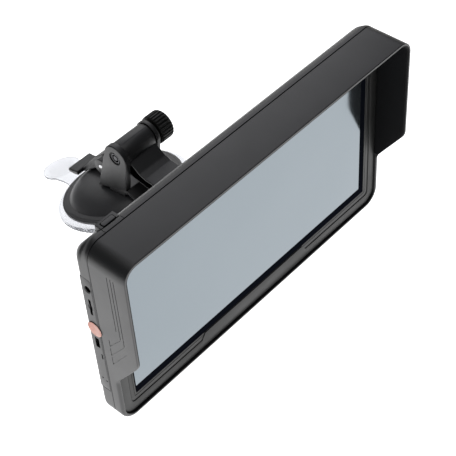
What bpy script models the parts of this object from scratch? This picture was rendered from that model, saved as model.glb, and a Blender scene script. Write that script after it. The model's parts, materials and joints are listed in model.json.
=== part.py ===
"""Vehicle monitor with a sunshade hood, on a tilting arm and a lever-lock suction cup.

Units are metres and +Z is up. The origin is the centre of the suction pad's face. The screen faces -Y,
and +X is to the right of someone facing it. The monitor's pieces hang on the empty monitor_frame (origin
at the bottom middle of the bezel, screen side) and the cup's pieces on the empty cup_frame, whose local Z
is the cup's axis and whose local +Y points away from the monitor.
"""
import math

import bmesh
import bpy
from mathutils import Matrix, Vector

GAP = 0.0003                      # clearance between neighbouring pieces

# Monitor, in monitor_frame: x right, y towards the back, z up from the bottom edge
MONITOR_ORIGIN = Vector((0.0, -0.109, -0.0259))
WIDTH = 0.229
HEIGHT = 0.1378
WALL = 0.0024
TOP_CORNER = 0.0095
BOTTOM_CORNER = 0.011
HOOD_FRONT_Y = -0.0207
RIM_FRONT_Y = -0.0010             # front edge of the low rim below the hood
HOOD_CUT_HIGH_Z = 0.0655          # lower front corner of the hood's side
HOOD_CUT_LOW_Z = 0.0382           # where the slanted edge of the hood's side meets the rim
SEAM_Y = 0.0055                   # joint between front housing and back shell
FLANGE_Y = (0.0022, 0.0038)       # inner flange that the bezel panel rests on
BEZEL_Y = (0.0004, 0.0019)
WINDOW_HALF = 0.1016
WINDOW_Z = (0.0146, 0.1332)
GLASS_Y = (0.0008, 0.0019)
PANEL_Y = (0.0022, 0.0052)
TRAY_Y = (0.0055, 0.0068)
BOARD_Y = (0.0128, 0.0144)
BACK_Y = 0.0240
SHELL_WALL = 0.0022
PORT_STRIP_Y = (0.0063, 0.0137)
PORT_STRIP_Z = (0.0247, 0.1138)
BUTTON_X = (-0.0979, -0.0894)
BUTTON_Y = (0.0089, 0.0121)
BUTTON_PROUD = 0.0004
BUTTON_DEPTH = 0.0066
BUTTON_LAND = ((-0.1000, -0.0872), 0.0136)             # flat raised round the button: its x span and its back
JACK_HOLE = 0.0021
LABEL_RADIUS = 0.0050
LABEL_PLACE = (0.0094, 0.0750)
SCREW_X = 0.1065
SCREW_Z = (0.0130, 0.1220)

# Slide rail on the monitor's back and the arm's foot in it
RAIL_Y = (BACK_Y + GAP, 0.0335)
RAIL_HALF = 0.0220
RAIL_Z = (0.0360, 0.0780)
RAIL_SCREW_X = 0.0175
RAIL_SCREW_Z = (0.0410, 0.0730)
FOOT_HEAD_HALF = 0.0130
FOOT_NECK_HALF = 0.0080
FOOT_HEAD_Y = (0.0273, 0.0302)
FOOT_Z = (0.0460, 0.0660)
ARM_END_Y = 0.0369

# Tilt hinge, parallel to X
PIVOT = Vector((0.0, -0.0141, 0.0474))
PIVOT_IN_MONITOR = PIVOT - MONITOR_ORIGIN
BARREL_RADIUS = 0.0082
ARM_HALF = 0.0112
BOLT_RADIUS = 0.0020
BOLT_BORE = 0.0023
CHEEK_INNER = 0.0115
CHEEK_OUTER = 0.0156                # left cheek, which holds the bolt's head
THIN_CHEEK_OUTER = 0.0144           # right cheek
CHEEK_RADIUS = 0.0089
WASHER_X = (0.0147, 0.0155)
KNOB_X = (0.0158, 0.0262)
KNOB_RADIUS = 0.0094
KNOB_TEETH = 26
HEX_FLATS = 0.0070

# Suction cup, in cup_frame: y away from the monitor, z along the cup's axis
CUP_TILT = math.radians(-17.0)
PAD_RADIUS = 0.0434
DOME_RADIUS = 0.0394
PIN_HEIGHT = 0.0250
PIN_RADIUS = 0.0019
STEM_RADIUS = 0.0039
CAM_RADIUS = 0.0075
CAM_DROP = 0.0020                 # how far the pin sinks when the lever is opened
CAM_ANGLE = math.radians(95.0)
TAB_CENTRE = Vector((0.0015, 0.0661))
TAB_RADIUS = 0.0128

BLACK_SATIN = ("black_satin", (0.022, 0.022, 0.024), 0.38, 0.0)
BLACK_GLOSS = ("black_gloss", (0.012, 0.012, 0.013), 0.18, 0.0)
GLASS_BLACK = ("glass_black", (0.010, 0.011, 0.014), 0.06, 0.0)
SCREEN_GREY = ("screen_grey", (0.36, 0.41, 0.46), 0.22, 0.0)
CLEAR_PVC = ("clear_pvc", (0.80, 0.83, 0.86), 0.12, 0.0)
STEEL = ("steel", (0.62, 0.62, 0.63), 0.28, 1.0)
BOARD_GREEN = ("board_green", (0.02, 0.10, 0.05), 0.45, 0.0)
LABEL_PINK = ("label_pink", (0.78, 0.22, 0.16), 0.55, 0.0)


def clear_scene():
    """Remove whatever the file opened with."""
    for obj in list(bpy.data.objects):
        bpy.data.objects.remove(obj)


def material(spec):
    """The Principled material for a (name, colour, roughness, metallic) tuple."""
    name, colour, roughness, metallic = spec
    found = bpy.data.materials.get(name)
    if found:
        return found
    made = bpy.data.materials.new(name)
    made.use_nodes = True
    shader = made.node_tree.nodes["Principled BSDF"]
    shader.inputs["Base Color"].default_value = (*colour, 1.0)
    shader.inputs["Roughness"].default_value = roughness
    shader.inputs["Metallic"].default_value = metallic
    return made


def empty(name, location, rotation=(0.0, 0.0, 0.0)):
    """A frame that pieces are parented to."""
    frame = bpy.data.objects.new(name, None)
    frame.location = location
    frame.rotation_euler = rotation
    bpy.context.scene.collection.objects.link(frame)
    return frame


def piece(name, bm, spec, parent=None, location=(0.0, 0.0, 0.0)):
    """Turn a bmesh into a named object with its material, with its faces pointing out."""
    bmesh.ops.recalc_face_normals(bm, faces=bm.faces)
    mesh = bpy.data.meshes.new(name)
    bm.to_mesh(mesh)
    bm.free()
    mesh.materials.append(material(spec))
    mesh.shade_smooth()
    mesh.set_sharp_from_angle(angle=math.radians(35.0))
    obj = bpy.data.objects.new(name, mesh)
    obj.location = location
    obj.parent = parent
    bpy.context.scene.collection.objects.link(obj)
    return obj


def boolean(target, operation, bm, parent=None, location=(0.0, 0.0, 0.0)):
    """Cut or join a helper body, which shares the target's parent unless another is named."""
    helper = piece(f"{target.name}_{operation.lower()}_{len(target.modifiers)}", bm, BLACK_SATIN,
                   parent or target.parent, location)
    helper.hide_render = True
    helper.display_type = "WIRE"
    modifier = target.modifiers.new(operation.title(), "BOOLEAN")
    modifier.operation = operation
    modifier.solver = "EXACT"
    modifier.object = helper
    return helper


def cut(target, bm, parent=None, location=(0.0, 0.0, 0.0)):
    """Cut a body away."""
    return boolean(target, "DIFFERENCE", bm, parent, location)


def add(target, bm, parent=None, location=(0.0, 0.0, 0.0)):
    """Join a body on."""
    return boolean(target, "UNION", bm, parent, location)


def box(low, high):
    """A box between two corners."""
    bm = bmesh.new()
    low, high = Vector(low), Vector(high)
    matrix = Matrix.LocRotScale((low + high) / 2, None, high - low)
    bmesh.ops.create_cube(bm, size=1.0, matrix=matrix)
    return bm


PLACES = {"x": lambda a, b, t: (t, a, b), "y": lambda a, b, t: (a, t, b), "z": lambda a, b, t: (a, b, t)}


def prism(outline, start, end, axis="y"):
    """Extrude a closed 2D outline along an axis: (x, z) along y, (y, z) along x, (x, y) along z."""
    place = PLACES[axis]
    bm = bmesh.new()
    near = [bm.verts.new(place(a, b, start)) for a, b in outline]
    far = [bm.verts.new(place(a, b, end)) for a, b in outline]
    bm.faces.new(near)
    bm.faces.new(far)
    count = len(outline)
    for i in range(count):
        j = (i + 1) % count
        bm.faces.new((near[i], near[j], far[j], far[i]))
    return bm


def loft(sections):
    """A closed solid through sections of equally many points, each a list of (x, y, z)."""
    bm = bmesh.new()
    rings = [[bm.verts.new(point) for point in section] for section in sections]
    bm.faces.new(rings[0])
    bm.faces.new(rings[-1])
    count = len(rings[0])
    for near, far in zip(rings, rings[1:]):
        for i in range(count):
            j = (i + 1) % count
            bm.faces.new((near[i], near[j], far[j], far[i]))
    return bm


def turned(profile, steps=48):
    """Turn a closed (radius, height) profile about local Z; points at radius 0 meet on the axis."""
    bm = bmesh.new()
    rings = []
    for radius, height in profile:
        if radius < 1e-7:
            rings.append([bm.verts.new((0.0, 0.0, height))] * steps)
        else:
            rings.append([bm.verts.new((radius * math.cos(2 * math.pi * k / steps),
                                        radius * math.sin(2 * math.pi * k / steps), height))
                          for k in range(steps)])
    for near, far in zip(rings, rings[1:] + rings[:1]):
        for k in range(steps):
            n = (k + 1) % steps
            corners = []
            for vert in (near[k], near[n], far[n], far[k]):
                if vert not in corners:
                    corners.append(vert)
            if len(corners) > 2:
                bm.faces.new(corners)
    return bm


def rod(radius, start, end, axis="x", centre=(0.0, 0.0), sides=32):
    """A round bar along an axis, at a centre given in the other two coordinates."""
    outline = [(centre[0] + radius * math.cos(2 * math.pi * k / sides),
                centre[1] + radius * math.sin(2 * math.pi * k / sides)) for k in range(sides)]
    return prism(outline, start, end, axis)


def hexagon(flats, centre=(0.0, 0.0), turn=0.0):
    """A hexagon outline with the given width across its flats, turned by an angle."""
    radius = flats / math.sqrt(3.0)
    return [(centre[0] + radius * math.cos(turn + math.pi * k / 3),
             centre[1] + radius * math.sin(turn + math.pi * k / 3)) for k in range(6)]


def arc(centre, radius, start, end, steps):
    """Points on an arc, angles in degrees."""
    return [(centre[0] + radius * math.cos(math.radians(start + (end - start) * k / steps)),
             centre[1] + radius * math.sin(math.radians(start + (end - start) * k / steps)))
            for k in range(steps + 1)]


def housing_outline(inset=0.0, side=None, top=0.0, bottom=0.0, steps=6):
    """The monitor's rounded outline in (x, z), moved in by inset, or by separate amounts."""
    half = WIDTH / 2 - (inset if side is None else side)
    high = HEIGHT - max(top, inset)
    low = max(bottom, inset)
    top_radius = max(TOP_CORNER - inset, 0.003)
    low_radius = max(BOTTOM_CORNER - inset, 0.003)
    return (arc((half - low_radius, low + low_radius), low_radius, -90, 0, steps)
            + arc((half - top_radius, high - top_radius), top_radius, 0, 90, steps)
            + arc((-half + top_radius, high - top_radius), top_radius, 90, 180, steps)
            + arc((-half + low_radius, low + low_radius), low_radius, 180, 270, steps))


def rectangle(half, low, high, radius, steps=4):
    """A rounded rectangle outline in (x, z) about x = 0."""
    return (arc((half - radius, low + radius), radius, -90, 0, steps)
            + arc((half - radius, high - radius), radius, 0, 90, steps)
            + arc((-half + radius, high - radius), radius, 90, 180, steps)
            + arc((-half + radius, low + radius), radius, 180, 270, steps))


def front_housing(frame):
    """Hood, rim and side walls in one moulding, with an inner flange and four screw posts."""
    shell = piece("front_housing", prism(housing_outline(), HOOD_FRONT_Y, SEAM_Y - GAP), BLACK_SATIN, frame)
    cut(shell, prism(housing_outline(WALL), HOOD_FRONT_Y - 0.01, FLANGE_Y[0]))
    cut(shell, prism(housing_outline(WALL), FLANGE_Y[1], SEAM_Y + 0.01))
    cut(shell, prism(rectangle(WINDOW_HALF - GAP, WINDOW_Z[0] + 0.0016, WINDOW_Z[1] - 0.0010, 0.001),
                     FLANGE_Y[0] - 0.01, FLANGE_Y[1] + 0.01))
    front = HOOD_FRONT_Y - 0.01
    corner = 0.0075
    slant = math.degrees(math.atan2(HOOD_CUT_HIGH_Z - HOOD_CUT_LOW_Z, RIM_FRONT_Y - HOOD_FRONT_Y))
    above = HOOD_CUT_HIGH_Z + 0.6 * corner
    bend = [(-0.0030, 0.0040), (-0.0011, 0.0008), (-0.0003, -0.0026), (0.0, -0.0064)]
    meeting = [(RIM_FRONT_Y + forward, HOOD_CUT_LOW_Z + rise) for forward, rise in bend]
    lower_front = arc((HOOD_FRONT_Y + corner, above), corner, 180, 270 - slant, 5) + meeting
    outline = [(front, above)] + lower_front + [(RIM_FRONT_Y, -0.01), (front, -0.01)]
    cut(shell, prism(outline, -WIDTH, WIDTH, "x"))
    for x in (-SCREW_X, SCREW_X):
        for z in SCREW_Z:
            add(shell, rod(0.0030, FLANGE_Y[1] - 0.0005, 0.0150, "y", (x, z), 20))
            cut(shell, rod(0.0015, FLANGE_Y[1] + 0.0008, 0.03, "y", (x, z), 16))


def display(frame):
    """Bezel panel, glass, display panel and metal tray, from front to back."""
    bezel = piece("bezel_panel", prism(housing_outline(WALL + GAP), *BEZEL_Y), BLACK_SATIN, frame)
    cut(bezel, prism(rectangle(WINDOW_HALF, *WINDOW_Z, 0.0008), -0.01, 0.01))
    cut(bezel, prism(rectangle(WINDOW_HALF + 0.0036, WINDOW_Z[0] - 0.0058, WINDOW_Z[1] + 0.0010, 0.0012),
                     -0.01, BEZEL_Y[0] + 0.0004))
    piece("front_glass", prism(rectangle(WINDOW_HALF - GAP, WINDOW_Z[0] + GAP, WINDOW_Z[1] - GAP, 0.0008),
                               *GLASS_Y), GLASS_BLACK, frame)
    inner = WINDOW_HALF - 0.0012
    lit = rectangle(inner, WINDOW_Z[0] + 0.0024, WINDOW_Z[1] - 0.0018, 0.0006)
    piece("display_panel", prism(lit, *PANEL_Y), SCREEN_GREY, frame)
    inner -= 0.0014
    low, high = (-inner, TRAY_Y[0], WINDOW_Z[0] + 0.0030), (inner, TRAY_Y[1], WINDOW_Z[1] - 0.0024)
    piece("display_tray", box(low, high), STEEL, frame)


def electronics(frame):
    """Main board with its sockets, and the loudspeaker."""
    board_left = -WIDTH / 2 + 0.0075
    board = piece("main_board", box((board_left, BOARD_Y[0], 0.0260), (0.0400, BOARD_Y[1], 0.1120)),
                  BOARD_GREEN, frame)
    for low, high in (((-0.060, -0.040), (0.060, 0.080)), ((-0.025, -0.008), (0.050, 0.067))):
        add(board, box((low[0], BOARD_Y[1] - 0.0004, high[0]), (low[1], BOARD_Y[1] + 0.0016, high[1])))
    socket_x = (-WIDTH / 2 + 0.0026, -WIDTH / 2 + 0.0145)
    jack_z, card_z, usb_z = 0.1058, (0.0850, 0.0993), (0.0598, 0.0682)
    seat = BOARD_Y[0] - GAP
    jack = piece("audio_jack", box((socket_x[0], seat - 0.0060, jack_z - 0.0031),
                                   (socket_x[1], seat, jack_z + 0.0031)), BLACK_SATIN, frame)
    cut(jack, rod(0.0018, -WIDTH, socket_x[1] - 0.0010, "x", (seat - 0.0030, jack_z), 20))
    card = piece("card_slot", box((socket_x[0], seat - 0.0040, card_z[0]), (socket_x[1], seat, card_z[1])),
                 STEEL, frame)
    cut(card, box((-WIDTH, seat - 0.0035, card_z[0] + 0.0012), (socket_x[1] - 0.0010, seat - 0.0025,
                                                                card_z[1] - 0.0012)))
    connector = box((socket_x[0], seat - 0.0044, usb_z[0]), (socket_x[1] - 0.0060, seat, usb_z[1]))
    usb = piece("usb_socket", connector, STEEL, frame)
    cut(usb, box((-WIDTH, seat - 0.0040, usb_z[0] + 0.0005), (socket_x[1] - 0.0070, seat - 0.0008,
                                                            usb_z[1] - 0.0005)))
    piece("usb_tongue", box((socket_x[0] + 0.0010, seat - 0.0026, usb_z[0] + 0.0015),
                            (socket_x[1] - 0.0073, seat - 0.0019, usb_z[1] - 0.0015)), BLACK_GLOSS, frame)
    speaker = piece("loudspeaker", rod(0.0120, 0.0100, 0.0180, "y", (0.0700, 0.0950), 32), BLACK_GLOSS, frame)
    add(speaker, rod(0.0070, 0.0075, 0.0110, "y", (0.0700, 0.0950), 24))


def back_sections(inset):
    """Sections of the back shell from the seam to the back, moved in by inset."""
    stations = ((SEAM_Y, 0.0, 0.0, 0.0), (0.0094, 0.0, 0.0, 0.0), (0.0142, 0.0, 0.0044, 0.0),
                (0.0222, 0.0095, 0.0152, 0.0095), (BACK_Y, 0.0140, 0.0190, 0.0140))
    sections = []
    for y, side, top, bottom in stations:
        outline = housing_outline(0.0, side + inset, top + inset, bottom + inset)
        sections.append([(x, y, z) for x, z in outline])
    return sections


def back_shell(frame):
    """Rear cover, hollow, with its ports, sound slots, screw holes and rail seat."""
    outer = back_sections(0.0)
    shell = piece("back_shell", loft(outer), BLACK_SATIN, frame)
    inner = back_sections(SHELL_WALL)
    inner[0] = [(x, SEAM_Y - 0.01, z) for x, _, z in inner[0]]
    inner[-1] = [(x, BACK_Y - SHELL_WALL, z) for x, _, z in inner[-1]]
    inner[-2] = [(x, y - 0.0016, z) for x, y, z in inner[-2]]
    cut(shell, loft(inner))
    for x in (-SCREW_X, SCREW_X):
        for z in SCREW_Z:
            add(shell, rod(0.0040, 0.0153, 0.0174, "y", (x, z), 20))
    span, back = BUTTON_LAND
    land = [(0.0090, HEIGHT), (back, HEIGHT), (back, HEIGHT - 0.0049), (0.0090, HEIGHT - 0.0010)]
    add(shell, prism(land, *span, "x"))
    left = -WIDTH / 2
    cut(shell, box((left - 0.01, PORT_STRIP_Y[0] - GAP, PORT_STRIP_Z[0] - GAP),
                   (left + 0.0011, PORT_STRIP_Y[1] + GAP, PORT_STRIP_Z[1] + GAP)))
    for cutter in port_cutters():
        cut(shell, cutter)
    cut(shell, box((BUTTON_X[0] - GAP, BUTTON_Y[0] - GAP, HEIGHT - 0.01),
                   (BUTTON_X[1] + GAP, BUTTON_Y[1] + GAP, HEIGHT + 0.01)))
    for row in range(5):
        z = 0.0870 + 0.0040 * row
        cut(shell, box((0.0600, BACK_Y - 0.006, z - 0.0008), (0.0800, BACK_Y + 0.01, z + 0.0008)))
    for x in (-SCREW_X, SCREW_X):
        for z in SCREW_Z:
            cut(shell, rod(0.0015, 0.012, 0.030, "y", (x, z), 16))
            cut(shell, rod(0.0030, 0.0168, 0.030, "y", (x, z), 20))
    for x in (-RAIL_SCREW_X, RAIL_SCREW_X):
        for z in RAIL_SCREW_Z:
            cut(shell, rod(0.0015, 0.015, 0.030, "y", (x, z), 16))


def port_cutters():
    """Bodies that open the ports: jack, memory card, connector, light slot and two pin holes."""
    near, far = -WIDTH / 2 - 0.01, -WIDTH / 2 + 0.0050
    middle = BOARD_Y[0] - GAP - 0.0030
    return (rod(JACK_HOLE, near, far, "x", (middle, 0.1058), 24),
            box((near, middle - 0.0009, 0.0862), (far, middle + 0.0009, 0.0981)),
            box((near, middle - 0.0014, 0.0600), (far, middle + 0.0020, 0.0680)),
            box((near, 0.0072, 0.0513), (far, 0.0082, 0.0556)),
            rod(0.0006, near, far, "x", (0.0108, 0.0332), 12),
            rod(0.0006, near, far, "x", (0.0078, 0.0323), 12))


def shell_details(frame):
    """Port strip, round label, power button, light guide and screws on the back shell."""
    left = -WIDTH / 2
    strip = piece("port_strip", box((left, PORT_STRIP_Y[0], PORT_STRIP_Z[0]),
                                    (left + 0.0008, PORT_STRIP_Y[1], PORT_STRIP_Z[1])), BLACK_SATIN, frame)
    for cutter in port_cutters():
        cut(strip, cutter)
    disc = rod(LABEL_RADIUS, left - 0.0005, left - GAP, "x", LABEL_PLACE, 28)
    piece("round_label", disc, LABEL_PINK, frame)
    middle_x, middle_y = sum(BUTTON_X) / 2, sum(BUTTON_Y) / 2
    half_x, half_y = (BUTTON_X[1] - BUTTON_X[0]) / 2, (BUTTON_Y[1] - BUTTON_Y[0]) / 2
    place = (middle_x, middle_y, HEIGHT)
    key = box((-half_x, -half_y, -BUTTON_DEPTH), (half_x, half_y, BUTTON_PROUD))
    button = piece("power_button", key, BLACK_SATIN, frame, place)
    bevel = button.modifiers.new("Bevel", "BEVEL")
    bevel.width = 0.0004
    bevel.segments = 2
    flange = 0.0010
    add(button, box((-half_x - flange, -half_y, -BUTTON_DEPTH - 0.0002),
                    (half_x + flange, half_y, -BUTTON_DEPTH + 0.0010)), frame, place)
    for side, x in (("left", -SCREW_X), ("right", SCREW_X)):
        for level, z in (("low", SCREW_Z[0]), ("high", SCREW_Z[1])):
            name = f"housing_screw_{side}_{level}"
            screw = piece(name, rod(0.0024, 0.0171, 0.0187, "y", (0.0, 0.0), 20), STEEL, frame, (x, 0.0, z))
            add(screw, rod(0.0011, 0.0080, 0.0175, "y", (0.0, 0.0), 14), frame, (x, 0.0, z))
            cut(screw, box((-0.0014, 0.0181, -0.0004), (0.0014, 0.02, 0.0004)), frame, (x, 0.0, z))
            cut(screw, box((-0.0004, 0.0181, -0.0014), (0.0004, 0.02, 0.0014)), frame, (x, 0.0, z))


def slide_rail(frame):
    """Screwed rail with a T slot that is open at the bottom, and its four screws."""
    rail = piece("slide_rail", prism(rectangle(RAIL_HALF, *RAIL_Z, 0.003), *RAIL_Y), BLACK_SATIN, frame)
    low, high = RAIL_Z[0] - 0.01, FOOT_Z[1] + GAP
    head = FOOT_HEAD_HALF + GAP
    neck = FOOT_NECK_HALF + GAP
    cut(rail, box((-head, FOOT_HEAD_Y[0] - GAP, low), (head, FOOT_HEAD_Y[1] + GAP, high)))
    cut(rail, box((-neck, FOOT_HEAD_Y[1], low), (neck, RAIL_Y[1] + 0.01, high)))
    for side, x in (("left", -RAIL_SCREW_X), ("right", RAIL_SCREW_X)):
        for level, z in (("low", RAIL_SCREW_Z[0]), ("high", RAIL_SCREW_Z[1])):
            cut(rail, rod(0.0014, 0.02, 0.04, "y", (x, z), 16))
            cut(rail, rod(0.0027, RAIL_Y[1] - 0.0020, 0.04, "y", (x, z), 20))
            place = (x, 0.0, z)
            screw = piece(f"rail_screw_{side}_{level}",
                          rod(0.0022, RAIL_Y[1] - 0.0017, RAIL_Y[1] - 0.0003, "y", (0.0, 0.0), 20), STEEL,
                          frame, place)
            add(screw, rod(0.0010, 0.0170, RAIL_Y[1] - 0.0010, "y", (0.0, 0.0), 14), frame, place)
            cut(screw, box((-0.0013, RAIL_Y[1] - 0.0008, -0.0004), (0.0013, 0.04, 0.0004)), frame, place)


def tilt_arm(hinge):
    """Barrel and beam in one moulding; the hinge empty is its origin."""
    base = PIVOT_IN_MONITOR
    arm = piece("tilt_arm", rod(BARREL_RADIUS, -ARM_HALF, ARM_HALF, "x", sides=40), BLACK_SATIN, hinge)

    def seen(points):
        return [(y - base.y, z - base.z) for y, z in points]

    beam = seen([(0.0935, 0.0815), (0.0868, 0.0715), (0.0800, 0.0663), (0.0755, 0.0648), (0.0660, 0.0640),
                 (ARM_END_Y, 0.0640), (ARM_END_Y, 0.0475), (0.0580, 0.0475), (0.0660, 0.0535),
                 (0.0730, 0.0576), (0.0860, 0.0600), (0.0930, 0.0630), (0.0990, 0.0665), (0.1015, 0.0690)])
    add(arm, prism(beam, -ARM_HALF + 0.0002, ARM_HALF - 0.0002, "x"))
    pocket = seen([(0.0425, 0.0630), (0.0660, 0.0630), (0.0757, 0.0638), (0.0803, 0.0653), (0.0862, 0.0700),
                   (0.0902, 0.0653), (0.0860, 0.0611), (0.0728, 0.0587), (0.0655, 0.0550), (0.0575, 0.0490),
                   (0.0425, 0.0490)])
    for low, high in ((-0.02, -0.0050), (0.0050, 0.02)):
        cut(arm, prism(pocket, low, high, "x"))
    cut(arm, rod(BOLT_BORE, -0.02, 0.02, "x", sides=24))
    for x in (-0.0045, 0.0045):
        cut(arm, rod(0.0013, ARM_END_Y - base.y - 0.01, ARM_END_Y - base.y + 0.012, "y",
                     (x, 0.0560 - base.z), 14))


def slide_foot(hinge):
    """T-shaped foot screwed to the arm's end."""
    base = PIVOT_IN_MONITOR
    foot = piece("slide_foot", box((-FOOT_HEAD_HALF, FOOT_HEAD_Y[0] - base.y, FOOT_Z[0] - base.z),
                                   (FOOT_HEAD_HALF, FOOT_HEAD_Y[1] - base.y, FOOT_Z[1] - base.z)),
                 BLACK_SATIN, hinge)
    add(foot, box((-FOOT_NECK_HALF, FOOT_HEAD_Y[0] + 0.001 - base.y, FOOT_Z[0] + 0.001 - base.z),
                  (FOOT_NECK_HALF, ARM_END_Y - GAP - base.y, FOOT_Z[1] - 0.001 - base.z)))
    for side, x in (("left", -0.0045), ("right", 0.0045)):
        place = (x, 0.0, 0.0560 - base.z)
        head = FOOT_HEAD_Y[0] - base.y
        cut(foot, rod(0.0013, head - 0.01, head + 0.03, "y", (x, 0.0560 - base.z), 14))
        cut(foot, rod(0.0024, head - 0.01, head + 0.0020, "y", (x, 0.0560 - base.z), 18))
        top = rod(0.0020, head + 0.0003, head + 0.0017, "y", (0.0, 0.0), 18)
        screw = piece(f"foot_screw_{side}", top, STEEL, hinge, place)
        add(screw, rod(0.0010, head + 0.0010, head + 0.0180, "y", (0.0, 0.0), 12), hinge, place)


def hinge_hardware(hinge):
    """Bolt with its head in the left cheek, washer, knurled knob and the nut in the knob."""
    head = prism(hexagon(HEX_FLATS, turn=CUP_TILT), -CHEEK_OUTER + 0.0005, -CHEEK_OUTER + 0.0026, "x")
    bolt = piece("hinge_bolt", head, STEEL, hinge)
    add(bolt, rod(BOLT_RADIUS, -CHEEK_OUTER + 0.0015, KNOB_X[1] - 0.0022, "x", sides=24))
    washer = piece("hinge_washer", rod(0.0056, *WASHER_X, "x", sides=32), STEEL, hinge)
    cut(washer, rod(BOLT_BORE, -0.05, 0.05, "x", sides=24))
    knob = piece("tilt_knob", knob_body(), BLACK_SATIN, hinge)
    cut(knob, rod(BOLT_BORE, 0.0, KNOB_X[1] - 0.0019, "x", sides=24))
    cut(knob, prism(hexagon(HEX_FLATS + 2 * GAP), 0.0, KNOB_X[0] + 0.0046, "x"))
    flats = prism(hexagon(HEX_FLATS), KNOB_X[0] + 0.0003, KNOB_X[0] + 0.0043, "x")
    nut = piece("knob_nut", flats, STEEL, hinge)
    cut(nut, rod(BOLT_BORE, -0.05, 0.05, "x", sides=24))


def knob_body():
    """Knurled knob along X with chamfered ends."""
    steps = KNOB_TEETH * 4
    chamfer = 0.0009

    def ring(x, radius, depth):
        points = []
        for k in range(steps):
            angle = 2 * math.pi * k / steps
            reach = radius - depth * (1 if k % 4 in (2, 3) else 0)
            points.append((x, reach * math.cos(angle), reach * math.sin(angle)))
        return points

    return loft([ring(KNOB_X[0], KNOB_RADIUS - chamfer, 0.0), ring(KNOB_X[0] + chamfer, KNOB_RADIUS, 0.0004),
                 ring(KNOB_X[1] - chamfer, KNOB_RADIUS, 0.0004), ring(KNOB_X[1], KNOB_RADIUS - chamfer, 0.0)])


def in_cup(point):
    """A world (y, z) point, from the pad's centre, in the cup frame's (y, z)."""
    cosine, sine = math.cos(CUP_TILT), math.sin(CUP_TILT)
    return (cosine * point[0] + sine * point[1], -sine * point[0] + cosine * point[1])


DOME_OUTER = [(0.0389, 0.0054), (0.0372, 0.0058), (0.0344, 0.0064), (0.0334, 0.0076), (0.0318, 0.0092),
              (0.0292, 0.0109), (0.0255, 0.0124), (0.0210, 0.0136), (0.0160, 0.0146), (0.0100, 0.0153)]


def fork(cup):
    """Two cheeks and the saddle that joins them, on the dome."""
    y, z = in_cup((PIVOT.y, PIVOT.z))
    cheek = (arc((y, z), CHEEK_RADIUS, 38, 195, 14)
             + [(-0.0263, 0.0175), (-0.0060, 0.0160), (0.0005, 0.0158)])
    body = piece("hinge_fork", prism(cheek, -CHEEK_OUTER, -CHEEK_INNER, "x"), BLACK_SATIN, cup)
    add(body, prism(cheek, CHEEK_INNER, THIN_CHEEK_OUTER, "x"))
    saddle = [(-0.0095, 0.0090), (-0.0095, 0.0200), (-0.0200, 0.0186), (-0.0263, 0.0172), (-0.0325, 0.0116),
              (-0.0312, 0.0106), (-0.0262, 0.0148), (-0.0228, 0.0140), (-0.0215, 0.0090)]
    add(body, prism(saddle, -CHEEK_OUTER + 0.0004, THIN_CHEEK_OUTER - 0.0004, "x"))
    cut(body, turned([(0.0, 0.0)] + [(r, h + GAP) for r, h in [(0.0400, 0.0054)] + DOME_OUTER]
                     + [(0.0, 0.0154 + GAP)]))
    cut(body, rod(BOLT_BORE, -0.03, 0.03, "x", (y, z), 24))
    cut(body, prism(hexagon(HEX_FLATS + 2 * GAP, (y, z)), -0.03, -CHEEK_OUTER + 0.0029, "x"))
    for side, x in (("left", -0.0070), ("right", 0.0070)):
        cut(body, rod(0.0013, 0.0, 0.0180, "z", (x, -0.0150), 14))
        place = (x, -0.0150, 0.0)
        head = rod(0.0024, 0.0102, 0.0116, "z", (0.0, 0.0), 18)
        screw = piece(f"fork_screw_{side}", head, STEEL, cup, place)
        add(screw, rod(0.0010, 0.0110, 0.0175, "z", (0.0, 0.0), 12), cup, place)


def dome(cup):
    """Rigid cup housing: a shallow dome with a rim flange and a hole for the stem."""
    outer = [(0.0054, 0.0172), (0.0084, 0.0172), (0.0090, 0.0154)] + list(reversed(DOME_OUTER))
    wall = 0.0022
    inner = [(0.0364, 0.0038)] + [(r, h - wall) for r, h in DOME_OUTER[3:]] + [(0.0054, 0.0130)]
    rim = [(DOME_RADIUS, 0.0049), (DOME_RADIUS, 0.0038)]
    body = piece("cup_housing", turned(outer + rim + inner), BLACK_GLOSS, cup)
    for x in (-0.0070, 0.0070):
        cut(body, rod(0.0013, 0.0, 0.03, "z", (x, -0.0150), 14))
        cut(body, rod(0.0028, 0.0, 0.0119, "z", (x, -0.0150), 18))


def pad(cup):
    """Clear suction pad with the boss that holds the stem's foot, and its pull tab."""
    profile = [(0.0, 0.0), (0.0424, 0.0), (PAD_RADIUS, 0.0007), (PAD_RADIUS, 0.0016), (0.0428, 0.0026),
               (0.0408, 0.0033), (0.0330, 0.0033), (0.0120, 0.0030), (0.0092, 0.0038), (0.0092, 0.0096),
               (0.0045, 0.0096), (0.0045, 0.0082), (0.0074, 0.0082), (0.0074, 0.0026), (0.0, 0.0026)]
    body = piece("suction_pad", turned(profile), CLEAR_PVC, cup)
    along = TAB_CENTRE.normalized()
    across = Vector((along.y, -along.x))
    tip = math.degrees(math.atan2(along.y, along.x))
    neck = [(0.0410, 0.0130), (0.0450, 0.0116), (0.0510, 0.0110), (0.0560, 0.0110)]      # distance out and half width
    outline = ([tuple(out * along + half * across) for out, half in neck]
               + arc(TAB_CENTRE, TAB_RADIUS, tip - 120, tip + 120, 20)
               + [tuple(out * along - half * across) for out, half in reversed(neck)])
    add(body, prism(outline, 0.0003, 0.0018, "z"))


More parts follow.
